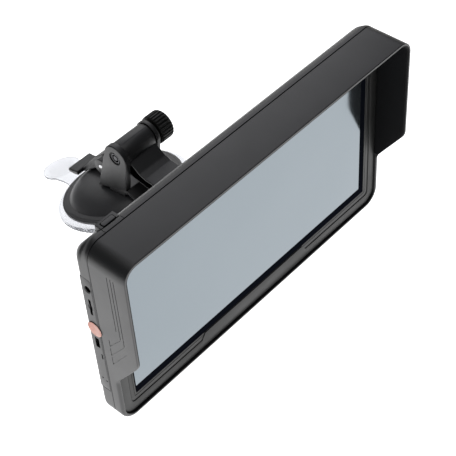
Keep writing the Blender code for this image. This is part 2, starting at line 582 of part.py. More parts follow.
def stem_and_lever(cup):
    """Stem with its pin, the cam lever in its locked position, and the return spring."""
    profile = [(0.0, 0.0054), (0.0068, 0.0054), (0.0068, 0.0077), (STEM_RADIUS, 0.0077), (STEM_RADIUS, 0.0150),
               (0.0033, 0.0165), (0.0033, 0.0285), (0.0, 0.0285)]
    stem = piece("pull_stem", turned(profile, 32), BLACK_SATIN, cup)
    cut(stem, rod(PIN_RADIUS + GAP, -0.02, 0.02, "x", (0.0, PIN_HEIGHT), 20))
    pin_place = (0.0, 0.0, PIN_HEIGHT)
    piece("lever_pin", rod(PIN_RADIUS, -0.0102, 0.0102, "x", sides=24), STEEL, cup, pin_place)
    steps = 30
    hub = []
    for k in range(steps):
        turn = 2 * math.pi * k / steps                      # from straight down, towards the front
        share = min(turn / CAM_ANGLE, 1.0) if turn < math.pi * 1.2 else (2 * math.pi - turn) / (0.8 * math.pi)
        radius = CAM_RADIUS - 0.0001 - CAM_DROP * share
        hub.append((-radius * math.sin(turn), -radius * math.cos(turn)))
    lever = piece("lock_lever", prism(hub, -0.0098, 0.0098, "x"), BLACK_SATIN, cup, pin_place)
    rest = [(0.0010, 0.0064), (0.0110, 0.0020), (0.0220, -0.0056), (0.0295, -0.0110), (0.0345, -0.0113),
            (0.0396, -0.0102), (0.0396, -0.0130), (0.0345, -0.0140), (0.0300, -0.0139), (0.0210, -0.0100),
            (0.0110, -0.0066), (0.0010, -0.0050)]
    add(lever, prism(rest, -0.0046, 0.0046, "x"), cup, pin_place)
    head = [(0.0305, -0.0109), (0.0345, -0.0112), (0.0397, -0.0101), (0.0397, -0.0131), (0.0345, -0.0141),
            (0.0305, -0.0139)]
    add(lever, prism(head, -0.0094, 0.0094, "x"), cup, pin_place)
    slot = [(0.0052, 0.0052), (-0.02, 0.0052), (-0.02, -0.02), (0.0052, -0.02)]
    cut(lever, prism(slot, -0.0037, 0.0037, "x"), cup, pin_place)
    cut(lever, rod(PIN_RADIUS + GAP, -0.02, 0.02, "x", sides=20), cup, pin_place)
    piece("return_spring", spring(0.0072, 0.0003, 0.0101, 0.0125, 2), STEEL, cup)


def spring(radius, wire, low, high, turns):
    """A coil about local Z as one closed tube."""
    steps, sides = 16 * turns, 6
    sections = []
    for k in range(steps + 1):
        angle = 2 * math.pi * turns * k / steps
        height = low + wire + (high - low - 2 * wire) * k / steps
        section = []
        for s in range(sides):
            swing = 2 * math.pi * s / sides
            reach = radius + wire * math.cos(swing)
            level = height + wire * math.sin(swing)
            section.append((reach * math.cos(angle), reach * math.sin(angle), level))
        sections.append(section)
    return loft(sections)


def build():
    """Make every piece."""
    clear_scene()
    monitor = empty("monitor_frame", MONITOR_ORIGIN)
    hinge = empty("tilt_axis", PIVOT)
    cup = empty("cup_frame", (0.0, 0.0, 0.0), (CUP_TILT, 0.0, 0.0))
    front_housing(monitor)
    display(monitor)
    electronics(monitor)
    back_shell(monitor)
    shell_details(monitor)
    slide_rail(monitor)
    tilt_arm(hinge)
    slide_foot(hinge)
    hinge_hardware(hinge)
    fork(cup)
    dome(cup)
    pad(cup)
    stem_and_lever(cup)


build()
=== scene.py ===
"""Looks of the vehicle monitor with its sunshade hood, tilting arm and suction cup.

Pieces are measured in millimetres, and solid() turns them into metres. Monitor pieces use the monitor's
frame (x right, y towards the back, z up, from the bezel's lower middle), hinge pieces use the tilt axis, and
cup pieces use the cup's frame (y away from the monitor, z along the cup's axis).
"""
import json
import math

import bmesh
import bpy
from mathutils import Matrix, Vector


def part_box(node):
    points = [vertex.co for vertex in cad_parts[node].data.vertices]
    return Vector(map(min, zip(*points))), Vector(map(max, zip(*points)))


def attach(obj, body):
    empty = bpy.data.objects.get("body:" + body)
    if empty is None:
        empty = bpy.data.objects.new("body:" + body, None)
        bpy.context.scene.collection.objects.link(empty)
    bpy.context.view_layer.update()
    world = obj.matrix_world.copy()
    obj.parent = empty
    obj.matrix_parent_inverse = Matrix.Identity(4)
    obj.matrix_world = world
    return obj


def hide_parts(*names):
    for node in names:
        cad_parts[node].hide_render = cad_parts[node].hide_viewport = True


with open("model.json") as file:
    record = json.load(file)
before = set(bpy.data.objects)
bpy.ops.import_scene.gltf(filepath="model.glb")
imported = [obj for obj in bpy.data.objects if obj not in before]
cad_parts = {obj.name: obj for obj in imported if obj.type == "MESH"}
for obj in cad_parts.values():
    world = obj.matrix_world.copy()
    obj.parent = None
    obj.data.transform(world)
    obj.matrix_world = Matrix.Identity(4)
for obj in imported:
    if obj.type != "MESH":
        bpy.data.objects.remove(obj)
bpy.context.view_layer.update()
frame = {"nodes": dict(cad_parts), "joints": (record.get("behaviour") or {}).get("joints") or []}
MM = 0.001


# ---------- frames and driving sizes
def joint_place(name):
    """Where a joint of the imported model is, in metres."""
    return next(Vector(joint["pos_m"]) for joint in frame["joints"] if joint["name"] == name)


HOOD_DEPTH = 20.7  # hood's front edge to the bezel's plane
HOUSING_LOW, HOUSING_HIGH = (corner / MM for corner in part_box("front_housing"))
SHELL_LOW, SHELL_HIGH = (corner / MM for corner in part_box("back_shell"))
ORIGIN = Vector(((HOUSING_LOW.x + HOUSING_HIGH.x) / 2, HOUSING_LOW.y + HOOD_DEPTH, HOUSING_LOW.z))
WIDTH = HOUSING_HIGH.x - HOUSING_LOW.x
HEIGHT = HOUSING_HIGH.z - HOUSING_LOW.z
HALF = WIDTH / 2
SEAM = SHELL_LOW.y - ORIGIN.y  # joint between front housing and back shell
BACK = SHELL_HIGH.y - ORIGIN.y
GAP = 0.3
WALL = 2.4
SHELL_WALL = 2.2  # back shell and dome
CASE_BORE = 1.5
SMALL_BORE = 1.3
TOP_CORNER = 9.5
BOTTOM_CORNER = 11.0
HOOD_FRONT = -20.4
RIM_FRONT = -1.0
HOOD_HIGH = 65.5  # lower front corner of the hood's side wall
HOOD_LOW = 38.2  # where its slanted edge meets the rim
WINDOW_HALF = 101.6
WINDOW = (14.6, 133.2)
PANE_Y = (0.80, 1.9)
LIT_X = (-101.0, 97.0)  # display area inside the pane's black border
LIT_Z = (20.3, 130.2)
PIVOT = joint_place("arm_tilt") / MM
PIN = joint_place("lever_open") / MM
CUP_TILT = -math.atan2(PIN.y, PIN.z)
PIN_HEIGHT = PIN.length
PIVOT_Y = math.cos(CUP_TILT) * PIVOT.y + math.sin(CUP_TILT) * PIVOT.z  # the tilt axis in the cup's frame
PIVOT_Z = math.cos(CUP_TILT) * PIVOT.z - math.sin(CUP_TILT) * PIVOT.y
BASE = PIVOT - ORIGIN  # the tilt axis in the monitor's frame

FRAMES = {
    "monitor": Matrix.Translation(ORIGIN * MM),
    "hinge": Matrix.Translation(PIVOT * MM),
    "cup": Matrix.Rotation(CUP_TILT, 4, "X"),
    "pin": Matrix.Translation(PIN * MM) @ Matrix.Rotation(CUP_TILT, 4, "X"),
}
RIDES = {"monitor": "monitor", "hinge": "arm", "cup": "suction_base", "pin": "lever"}  # usual bodies


def corner_places(x, levels):
    """Places on both sides at two heights, by the end of their names."""
    return {f"{side}_{level}": (way * x, z) for side, way in (("left", -1), ("right", 1))
            for level, z in zip(("low", "high"), levels)}


CASE_SCREWS = corner_places(106.5, (13.0, 122.0))
RAIL_SCREWS = corner_places(17.5, (41.0, 73.0))
FOOT_Z = (46.0 - BASE.z, 66.0 - BASE.z)
FOOT_SCREWS = {"left": (-4.5, sum(FOOT_Z) / 2), "right": (4.5, sum(FOOT_Z) / 2)}
SADDLE_SCREWS = {"left": (-7.0, -15.0), "right": (7.0, -15.0)}


# ---------- outlines
def arc(centre, radius, start, end, steps):
    """Points on an arc, angles in degrees."""
    return [(centre[0] + radius * math.cos(math.radians(start + (end - start) * k / steps)),
             centre[1] + radius * math.sin(math.radians(start + (end - start) * k / steps)))
            for k in range(steps + 1)]


def circle(radius, centre=(0.0, 0.0), sides=48):
    """A round outline."""
    return arc(centre, radius, 0, 360 - 360 / sides, sides - 1)


def hexagon(flats, centre=(0.0, 0.0), turn=0.0):
    """A hexagon outline with the given width across its flats, turned by an angle in degrees."""
    return arc(centre, flats / math.sqrt(3), turn, turn + 300, 5)


def rounded(points, radius, steps=5, closed=True):
    """An outline with its corners rounded; radius is one number, or one for each corner."""
    radii = radius if isinstance(radius, (list, tuple)) else [radius] * len(points)
    count, made = len(points), []
    for i, (point, reach) in enumerate(zip(points, radii)):
        here = Vector(point)
        if reach <= 0 or (not closed and i in (0, count - 1)):
            made.append(tuple(here))
            continue
        before, after = Vector(points[i - 1]) - here, Vector(points[(i + 1) % count]) - here
        a, b = before.normalized(), after.normalized()
        half = math.acos(max(-1.0, min(1.0, a.dot(b)))) / 2
        if half > math.pi / 2 - 0.02:
            made.append(tuple(here))
            continue
        back = min(reach / math.tan(half), 0.49 * before.length, 0.49 * after.length)
        centre = here + (a + b).normalized() * back / math.cos(half)
        first, last = here + a * back - centre, here + b * back - centre
        begin = math.atan2(first.y, first.x)
        sweep = (math.atan2(last.y, last.x) - begin + math.pi) % (2 * math.pi) - math.pi
        made += [(centre.x + first.length * math.cos(begin + sweep * k / steps),
                  centre.y + first.length * math.sin(begin + sweep * k / steps)) for k in range(steps + 1)]
    return made


def rectangle(x_low, x_high, low, high, radius, steps=5):
    """A rectangle outline with rounded corners."""
    return rounded([(x_low, low), (x_high, low), (x_high, high), (x_low, high)], radius, steps)


def widened(across, along, gap, radius, steps):
    """A rectangle outline between two spans, wider by a gap on every side."""
    return rectangle(across[0] - gap, across[1] + gap, along[0] - gap, along[1] + gap, radius, steps)


def shrink(outline, distance):
    """An outline moved inward by a distance."""
    area = sum(a[0] * b[1] - b[0] * a[1] for a, b in zip(outline, outline[1:] + outline[:1]))
    side = 1.0 if area > 0 else -1.0
    moved = []
    for i, point in enumerate(outline):
        here = Vector(point)
        one = here - Vector(outline[i - 1])
        two = Vector(outline[(i + 1) % len(outline)]) - here
        normals = [Vector((-step.y, step.x)).normalized() * side for step in (one, two) if step.length > 1e-7]
        normal = sum(normals, Vector((0.0, 0.0))).normalized()
        moved.append(tuple(here + normal * distance / max(0.5, normal.dot(normals[0]))))
    return moved


def smoothed(rows, rounds=3):
    """Rows of numbers with the corners of their path cut round, keeping both ends."""
    for _ in range(rounds):
        cut = [rows[0]]
        for a, b in zip(rows, rows[1:]):
            cut.append(tuple(0.75 * p + 0.25 * q for p, q in zip(a, b)))
            cut.append(tuple(0.25 * p + 0.75 * q for p, q in zip(a, b)))
        rows = cut + [rows[-1]]
    return rows


def round_frame(half, low, high, below, above, steps, walls=(), spans=()):
    """A symmetric outline with one radius below and one above, and extra points on its walls and spans."""
    return (arc((half - below, low + below), below, -90, 0, steps) + [(half, z) for z in walls]
            + arc((half - above, high - above), above, 0, 90, steps) + [(-x * half, high) for x in spans]
            + arc((-half + above, high - above), above, 90, 180, steps) + [(-half, z) for z in walls[::-1]]
            + arc((-half + below, low + below), below, 180, 270, steps) + [(x * half, low) for x in spans])


def housing_outline(side=0.0, top=None, bottom=None, levels=(), steps=12, extra=0.0):
    """The monitor's outline in (x, z), moved in, with points at levels on its side walls; extra is added to
    its upper corners' radius."""
    top = side if top is None else top
    bottom = side if bottom is None else bottom
    half, high, low = HALF - side, HEIGHT - top, bottom
    upper = max(TOP_CORNER + extra - max(side, top), 0.8 + extra)
    lower = max(BOTTOM_CORNER - max(side, bottom), 0.8)
    walls = [z for z in levels if BOTTOM_CORNER < z < HEIGHT - TOP_CORNER]
    return round_frame(half, low, high, lower, upper, steps, walls, (-0.6, -0.2, 0.2, 0.6))


# ---------- solids
def loft(sections, ring=False):
    """A closed solid through sections of equally many points; a ring has no end faces."""
    bm = bmesh.new()
    rings = [[bm.verts.new(point) for point in section] for section in sections]
    pairs = list(zip(rings, rings[1:]))
    if ring:
        pairs.append((rings[-1], rings[0]))
    else:
        bm.faces.new(rings[0])
        bm.faces.new(rings[-1])
    count = len(rings[0])
    for near, far in pairs:
        for i in range(count):
            j = (i + 1) % count
            bm.faces.new((near[i], near[j], far[j], far[i]))
    return bm


PLACES = {"x": lambda a, b, t: (t, a, b), "y": lambda a, b, t: (a, t, b), "z": lambda a, b, t: (a, b, t)}
TURNS = {"x": Matrix.Rotation(math.pi / 2, 4, "Y"), "y": Matrix.Rotation(-math.pi / 2, 4, "X"), "z": Matrix()}


def slab(outline, start, end, axis="x", edge=0.0, steps=3, far_edge=None):
    """An outline extruded along an axis, its rims rounded by edge and far_edge."""
    place = PLACES[axis]
    way = 1.0 if end > start else -1.0
    stations = []
    for reach, base, inward in ((edge, start, way), (edge if far_edge is None else far_edge, end, -way)):
        turns = [math.pi / 2 * k / steps for k in range(steps + 1)] if reach else [math.pi / 2]
        rim = [(reach * (1 - math.sin(turn)), base + inward * reach * (1 - math.cos(turn))) for turn in turns]
        stations += rim if inward == way else rim[::-1]
    return loft([[place(a, b, t) for a, b in (shrink(outline, inset) if inset > 1e-6 else outline)]
                 for inset, t in stations])


def turned(profile, steps=96):
    """A closed (radius, height) profile turned about local Z."""
    bm = bmesh.new()
    rings = []
    for radius, height in profile:
        if radius < 1e-5:
            rings.append([bm.verts.new((0.0, 0.0, height))] * steps)
        else:
            rings.append([bm.verts.new((*point, height)) for point in circle(radius, sides=steps)])
    for near, far in zip(rings, rings[1:] + rings[:1]):
        for k in range(steps):
            n = (k + 1) % steps
            corners = []
            for vert in (near[k], near[n], far[n], far[k]):
                if vert not in corners:
                    corners.append(vert)
            if len(corners) > 2:
                bm.faces.new(corners)
    return bm


def rod(radius, place, start, end, axis="x", sides=32):
    """A plain round bar along an axis."""
    return slab(circle(radius, place, sides), start, end, axis)


def turned_along(axis, profile, steps=64, centre=(0.0, 0.0, 0.0)):
    """A closed (radius, distance) profile turned about an axis through a centre."""
    bm = turned(profile, steps)
    bmesh.ops.transform(bm, matrix=Matrix.Translation(centre) @ TURNS[axis], verts=bm.verts)
    return bm


def scene_object(name, data):
    """A new object in the scene."""
    obj = bpy.data.objects.new(name, data)
    bpy.context.scene.collection.objects.link(obj)
    return obj


def solid(name, bm, place):
    """A mesh object with outward faces, in one of the frames, from millimetres."""
    bmesh.ops.recalc_face_normals(bm, faces=bm.faces)
    bmesh.ops.scale(bm, vec=(MM, MM, MM), verts=bm.verts)
    mesh = bpy.data.meshes.new(name)
    bm.to_mesh(mesh)
    bm.free()
    obj = scene_object(name, mesh)
    obj.matrix_world = FRAMES[place]
    obj["place"] = place
    return obj


def carve(obj, bodies, operation="DIFFERENCE"):
    """Cut bodies out of an object, or join them on, and keep the result."""
    for bm in bodies:
        helper = solid("helper", bm, obj["place"])
        modifier = obj.modifiers.new("carve", "BOOLEAN")
        modifier.operation = operation
        modifier.solver = "EXACT"
        modifier.object = helper
        bpy.context.view_layer.update()
        mesh = bpy.data.meshes.new_from_object(obj.evaluated_get(bpy.context.evaluated_depsgraph_get()))
        obj.modifiers.clear()
        obj.data = mesh
        bpy.data.objects.remove(helper)
    return obj


def join(obj, bodies):
    """Join bodies on."""
    return carve(obj, bodies, "UNION")


def dress(obj, material, nodes=(), body=None, sharp=34.0):
    """Give a piece its material, shading and body, and hide the CAD nodes that it stands for."""
    obj.data.materials.clear()
    obj.data.materials.append(material)
    for face in obj.data.polygons:
        face.material_index = 0
    obj.data.shade_smooth()
    obj.data.set_sharp_from_angle(angle=math.radians(sharp))
    if obj["place"] in ("cup", "pin"):  # a leaning frame goes into the mesh, so the object's box is its own
        obj.data.transform(obj.matrix_world)
        obj.matrix_world = Matrix()
    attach(obj, body or RIDES[obj["place"]])
    if nodes:
        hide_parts(*nodes)
    return obj


def piece(name, bm, place, material, nodes=(), body=None, joined=(), cut=(), sharp=34.0):
    """A dressed piece in one of the frames, with bodies joined on and then others cut out."""
    obj = solid(name, bm, place)
    join(obj, joined)
    carve(obj, cut)
    return dress(obj, material, nodes, body, sharp)


def repaint(obj, material, chosen):
    """A second material on the faces chosen by their centre, in millimetres, and normal."""
    obj.data.materials.append(material)
    for face in obj.data.polygons:
        if chosen(face.center / MM, face.normal):
            face.material_index = 1


# ---------- materials
def node(near, kind, inputs=None, **settings):
    """A node in the tree of a socket, with settings and inputs; an input can be another node's output."""
    tree = near.id_data
    made = tree.nodes.new(kind)
    for name, value in settings.items():
        setattr(made, name, value)
    for name, value in (inputs or {}).items():
        if isinstance(value, bpy.types.NodeSocket):
            tree.links.new(value, made.inputs[name])
        else:
            made.inputs[name].default_value = value
    return made


def new_material(name):
    """A material with only a Principled shader, and the object's own coordinates in its tree."""
    made = bpy.data.materials.new(name)
    made.use_nodes = True
    return made, made.node_tree.nodes.new("ShaderNodeTexCoord").outputs["Object"]


def noise(place, scale, detail=3.0, roughness=0.5):
    """A noise value."""
    inputs = {"Vector": place, "Scale": scale, "Detail": detail, "Roughness": roughness}
    return node(place, "ShaderNodeTexNoise", inputs).outputs["Fac"]


def spread(value, low, high, start=0.35, end=0.65, **settings):
    """A value mapped from a middle span to low and high."""
    inputs = {"Value": value, "From Min": start, "From Max": end, "To Min": low, "To Max": high}
    return node(value, "ShaderNodeMapRange", inputs, **settings).outputs["Result"]


def blend_colours(factor, one, two):
    """A mix of two colours by a factor; the first can be another node's output."""
    one = one if isinstance(one, bpy.types.NodeSocket) else (*one, 1.0)
    mix = node(factor, "ShaderNodeMix", {"Factor": factor, "A": one, "B": (*two, 1.0)}, data_type="RGBA")
    return mix.outputs["Result"]


def surfaced(made, colour, roughness, height, strength, depth, values=None):
    """Set a material's colour, roughness, plain values and bump, with the bump's depth in metres."""
    shader = made.node_tree.nodes["Principled BSDF"]
    for name, value in (values or {}).items():
        shader.inputs[name].default_value = value
    bump = node(height, "ShaderNodeBump", {"Height": height, "Strength": strength, "Distance": depth})
    links = {"Base Color": colour, "Roughness": roughness, "Normal": bump.outputs["Normal"]}
    for name, output in links.items():
        made.node_tree.links.new(output, shader.inputs[name])
    return made


def moulded(name, colour, roughness, grain=2400.0, depth=0.00003, strength=0.25, specular=0.5, mottle=0.12):
    """Moulded plastic: fine spark grain, and slight flow marks in its colour and gloss."""
    made, place = new_material(name)
    dark, pale = (tuple((1 + way * mottle) * part for part in colour) for way in (-1, 1))
    flow = spread(noise(place, 22.0, 4.0), 0.0, 1.0)
    gloss = spread(noise(place, 60.0, 5.0), roughness - mottle / 4, roughness + mottle / 4)
    return surfaced(made, blend_colours(flow, dark, pale), gloss, noise(place, grain, 2.0),
                    strength, depth, {"Specular IOR Level": specular})


def screen_material():
    """Unlit display under its front pane: pale blue-grey, and softly mirroring."""
    made, place = new_material("display_grey")
    shift = spread(noise(place, 9.0, 2.0), 0.0, 1.0)
    return surfaced(made, blend_colours(shift, (0.212, 0.244, 0.268), (0.222, 0.254, 0.278)),
                    spread(noise(place, 14.0), 0.10, 0.13), noise(place, 5200.0, 1.0),
                    0.05, 0.00001, {"Metallic": 0.96})


def border_material():
    """Black print under the edge of the front pane."""
    made, place = new_material("pane_border")
    cloud = noise(place, 30.0)
    return surfaced(made, blend_colours(cloud, (0.004, 0.005, 0.008), (0.006, 0.007, 0.011)),
                    spread(noise(place, 40.0), 0.10, 0.16), noise(place, 900.0, 1.0),
                    0.02, 0.00001, {"Specular IOR Level": 0.0})


def clear_material():
    """Clear soft PVC with a faint milky body and cast ripples."""
    made, place = new_material("clear_soft")
    cloud = noise(place, 45.0, 3.0)
    return surfaced(made, blend_colours(cloud, (0.76, 0.77, 0.80), (0.83, 0.84, 0.87)),
                    spread(noise(place, 120.0), 0.10, 0.22), noise(place, 110.0, 3.0),
                    0.10, 0.0001, {"Transmission Weight": 0.80, "IOR": 1.20})


def steel_material(name="bright_steel", roughness=0.22, colour=(0.66, 0.66, 0.67)):
    """Turned steel with fine drawn lines."""
    made, place = new_material(name)
    lines = node(place, "ShaderNodeMapping", {"Vector": place, "Scale": (1.0, 24.0, 24.0)}).outputs["Vector"]
    marks = noise(lines, 260.0, 4.0)
    dull = tuple(0.82 * part for part in colour)
    return surfaced(made, blend_colours(marks, dull, colour),
                    spread(marks, roughness - 0.05, roughness + 0.08), marks, 0.10, 0.00002,
                    {"Metallic": 1.0})


def label_material():
    """Plain salmon label with paper fibres and a paler bloom."""
    made, place = new_material("label_paper")
    fibre = noise(place, 900.0, 6.0, 0.7)
    cloud = spread(noise(place, 190.0, 2.0), 0.0, 1.0)
    base = blend_colours(cloud, (0.78, 0.28, 0.20), (0.90, 0.50, 0.42))
    colour = blend_colours(spread(fibre, 0.0, 0.3), base, (0.95, 0.75, 0.68))
    return surfaced(made, colour, spread(fibre, 0.42, 0.62), fibre, 0.3, 0.00003)


def board_material():
    """Green solder mask with faint copper traces."""
    made, place = new_material("solder_mask")
    tracks = node(place, "ShaderNodeTexBrick", {
        "Vector": place, "Scale": 160.0, "Mortar Size": 0.06, "Color1": (0.012, 0.085, 0.035, 1.0),
        "Color2": (0.016, 0.100, 0.042, 1.0), "Mortar": (0.035, 0.190, 0.080, 1.0)}).outputs["Color"]
    return surfaced(made, tracks, spread(noise(place, 90.0), 0.25, 0.40),
                    noise(place, 300.0), 0.2, 0.00005)


HOUSING = moulded("housing_satin", (0.011, 0.011, 0.0118), 0.40, strength=0.12, specular=0.8, mottle=0.06)
# Painted shade: a darker, duller copy of the housing plastic. It goes on the hood's inward faces, the arm's
# flank pockets and the sunk bolt head, where shade falls.
PAINTED_SHADE = moulded("painted_shade_black", (0.0035, 0.0038, 0.0045), 0.62, specular=0.12)
BEZEL = moulded("bezel_satin", (0.0095, 0.010, 0.0095), 0.44, specular=0.44)
MOUNT = moulded("mount_plastic", (0.021, 0.021, 0.0222), 0.42, 1500.0, 0.00004, 0.2, specular=0.7)
DOME = moulded("cup_plastic", (0.066, 0.066, 0.069), 0.40, 1300.0, 0.00003, 0.12, specular=0.6)
KNOB = moulded("knob_plastic", (0.007, 0.0075, 0.006), 0.46, 1800.0, 0.00005, 0.35)
SCREEN = screen_material()
BORDER = border_material()
CLEAR = clear_material()
STEEL = steel_material()
DARK_STEEL = steel_material("black_zinc", 0.34, (0.09, 0.09, 0.095))
GOLD = steel_material("contact_gold", 0.25, (0.75, 0.55, 0.25))
LABEL = label_material()
BOARD = board_material()


# ---------- monitor: hood and front housing
RIM_ROUND = 1.7  # outer rounding of the rim's front edge
HOOD_ROUND = 0.5  # and of the hood's front edge
LIP_STEPS = 5


def hood_profile():
    """Front edge of the side walls as (y, z) points from top to bottom."""
    corners = [(HOOD_FRONT, HEIGHT), (HOOD_FRONT, HOOD_HIGH), (RIM_FRONT, HOOD_LOW), (RIM_FRONT, 0.0)]
    return rounded(corners, [0.0, 10.0, 9.5, 0.0], 9, closed=False)


def along_profile(profile, z):
    """The profile's y at a height."""
    for (y_high, z_high), (y_low, z_low) in zip(profile, profile[1:]):
        if z_high >= z >= z_low and z_high > z_low:
            return y_low + (y_high - y_low) * (z - z_low) / (z_high - z_low)
    return profile[0][0] if z > profile[0][1] else profile[-1][0]


def lip_section(front, outer, inner):
    """Wall section at one place of the outline: (inset, y) points from the seam round the lip and back."""
    back = SEAM - GAP
    flange = (2.2, 3.8)
    flange_inset = 9.0
    points = [(0.25, back), (0.0, back - 0.25)]
    turns = [math.pi / 2 * k / LIP_STEPS for k in range(LIP_STEPS + 1)]
    points += [(outer * (1 - math.cos(turn)), front + outer * (1 - math.sin(turn))) for turn in turns]
    points += [(WALL - inner * (1 - math.sin(turn)), front + inner * (1 - math.cos(turn))) for turn in turns]
    return points + [(WALL, flange[0] - 0.3), (WALL + 0.3, flange[0]), (flange_inset, flange[0]),
                     (flange_inset, flange[1]), (WALL, flange[1]), (WALL, back)]


def front_housing():
    """Hood, rim and side walls in one moulding, with the nested line pattern on the left wall."""
    profile = hood_profile()
    heights = {20.0, 28.0, 33.0, 44.0, 50.0, 56.0, 80.0, 95.0, 110.0}
    levels = sorted({round(z, 3) for _, z in profile} | heights)
    sections, insets = [], {}
    for index, (_, z) in enumerate(housing_outline(levels=levels)):
        front = along_profile(profile, z)
        share = (front - HOOD_FRONT) / (RIM_FRONT - HOOD_FRONT)
        lip = HOOD_ROUND + (RIM_ROUND - HOOD_ROUND) * share ** 2
        section = []
        for inset, y in lip_section(front, lip, 1.1 - 0.6 * share):
            key = round(inset, 5)
            if key not in insets:
                insets[key] = housing_outline(inset, levels=levels)
            x, height = insets[key][index]
            section.append((x, y, height))
        sections.append(section)
    body = solid("hood_housing", loft(sections, ring=True), "monitor")
    carve(body, wall_lines())
    join(body, [rod(3.0, place, 3.3, 15.0, "y", 24) for place in CASE_SCREWS.values()])
    carve(body, [rod(CASE_BORE, place, 4.6, 16.0, "y", 16) for place in CASE_SCREWS.values()])
    dress(body, HOUSING, ["front_housing"])

    def shaded(centre, normal):
        x, y, z = centre
        out = normal.x * x + normal.z * (z - HEIGHT / 2)
        inward = out < -0.05 * math.hypot(x, z - HEIGHT / 2)
        return inward and (y < RIM_FRONT - 0.15 or (y < 2.5 and z > HOOD_LOW + 2.0))

    # Painted shade: the hood's inward faces take the painted shade material, darker than the outer housing,
    # where the hood shades them.
    repaint(body, PAINTED_SHADE, shaded)


def channel(points, width, depth):
    """A thin bar along a path of (y, z) points in the left wall, for cutting a line into it."""
    path = [Vector(point) for point in points]
    left, right = [], []
    for i, point in enumerate(path):
        before = (point - path[i - 1]).normalized() if i else (path[1] - point).normalized()
        after = (path[i + 1] - point).normalized() if i < len(path) - 1 else before
        normal = Vector((-(before + after).y, (before + after).x)).normalized()
        reach = width / 2 / max(0.4, normal.dot(Vector((-before.y, before.x))))
        left.append(tuple(point + normal * reach))
        right.append(tuple(point - normal * reach))
    return slab(left + right[::-1], LEFT + depth, LEFT - 1.0)


def wall_lines():
    """Nested lines that turn back along the hood's slant, cut into the left wall."""
    paths = [[(-7.7, 126.8), (-7.9, 86.2)], [(-10.1, 127.0), (-10.2, 81.0), (-0.7, 69.0), (-0.7, 74.1)],
             [(-12.2, 126.8), (-12.4, 77.1), (-0.6, 61.5), (-0.6, 67.0)],
             [(-13.2, 71.5), (-0.7, 54.1), (-0.7, 60.0)]]
    width, depth = 0.42, 0.32
    return [channel(path, width, depth) for path in paths]


# ---------- monitor: bezel and front pane
def bezel_loop(share, y):
    """A rounded rectangle between the window (share 0) and the bezel's outer edge (share 1)."""
    edge = WALL + GAP
    half = WINDOW_HALF + (HALF - edge - WINDOW_HALF) * share
    low = WINDOW[0] + (edge - WINDOW[0]) * share
    high = WINDOW[1] + (HEIGHT - edge - WINDOW[1]) * share
    below, above = (0.8 + (radius - 0.8) * share ** 1.5 for radius in (8.3, 6.8))
    return [(x, y, z) for x, z in round_frame(half, low, high, below, above, 9)]


def bezel():
    """Stepped bezel: a lower inner step with a fine line, a groove, the outer flat and a sunk edge."""
    steps = ((0.0, 1.9), (0.0, 0.95), (0.012, 0.80), (0.11, 0.80), (0.125, 1.02), (0.145, 1.02), (0.16, 0.80),
             (0.38, 0.80), (0.39, 1.05), (0.412, 1.05), (0.425, 0.46), (0.437, 0.42), (0.93, 0.42), (0.96, 0.46),
             (0.985, 0.58), (1.0, 0.75), (1.0, 1.9))
    plateau = rounded([(-51.5, 4.9), (47.5, 4.9), (41.5, 14.1), (-45.5, 14.1)], 0.8, 4)
    piece("bezel_frame", loft([bezel_loop(share, y) for share, y in steps], ring=True), "monitor", BEZEL,
          ["bezel_panel"], joined=[slab(plateau, 1.6, 0.41, "y", far_edge=0.12)])


def front_pane():
    """Front pane: a glossy black border around the unlit display."""
    pane = widened((-WINDOW_HALF, WINDOW_HALF), WINDOW, -GAP, 0.8, 5)
    front, back = PANE_Y
    piece("front_pane", slab(pane, back, front, "y", far_edge=0.12), "monitor", BORDER, ["front_glass"],
          cut=[slab(widened(LIT_X, LIT_Z, 0.0, 0.4, 3), 0.85, 0.5, "y")])
    piece("display_area", slab(widened(LIT_X, LIT_Z, -0.02, 0.4, 3), 1.0, front, "y"), "monitor", SCREEN)


# ---------- monitor: back shell and what is in it
LEFT = -HALF
STRIP_Y = (6.3, 13.7)
STRIP_Z = (24.7, 113.8)
JACK = (9.5, 105.8)
CARD_Z = (86.2, 98.1)
USB_Z = (60.0, 68.0)
LIGHT_Z = (51.3, 55.6)
PIN_HOLES = ((10.8, 33.2), (7.8, 32.3))
BUTTON_X = (-97.9, -89.4)
BUTTON_Y = (8.9, 12.1)
LAND_X = (-100.0, -87.2)  # flat raised round the button


def shell_sections(inset=0.0):
    """Sections of the back shell from the seam to the back, with its shoulders rounded."""
    stations = [(SEAM, 0.0, 0.0, 0.0), (9.4, 0.0, 0.0, 0.0), (14.2, 0.0, 5.0, 0.0), (22.2, 9.5, 15.6, 9.5),
                (BACK, 14.0, 19.0, 14.0)]
    path = smoothed(stations)
    if inset:
        path = [(y, *(value + inset for value in insets)) for y, *insets in path if y < BACK - inset - 0.2]
        path = [(SEAM - 2.0, *path[0][1:])] + path[1:] + [(BACK - inset, *path[-1][1:])]
    else:
        path = [(SEAM, 0.25, 0.25, 0.25), (SEAM + 0.25, 0.0, 0.0, 0.0)] \
            + [row for row in path if row[0] > SEAM + 0.5]
    levels = (24.0, 60.0, 90.0, 114.5)
    return [[(x, y, z) for x, z in housing_outline(*insets, levels, extra=min(3.5, max(0.0, y - 7.0)))]
            for y, *insets in path]


def port_openings(near, far):
    """Cutters for the ports in the left wall: jack, card slot, small connector, light slot and pin holes."""
    usb = rounded([(7.9, USB_Z[0] + 0.3), (11.0, USB_Z[0]), (11.0, USB_Z[1]), (7.9, USB_Z[1] - 0.3)], 0.5, 3)
    slots = [rectangle(8.6, 10.4, *CARD_Z, 0.5, 4), usb, rectangle(7.2, 8.2, *LIGHT_Z, 0.45, 4)]
    return ([rod(2.1, JACK, near, far)] + [slab(outline, near, far) for outline in slots]
            + [rod(0.6, place, near, far, sides=16) for place in PIN_HOLES])


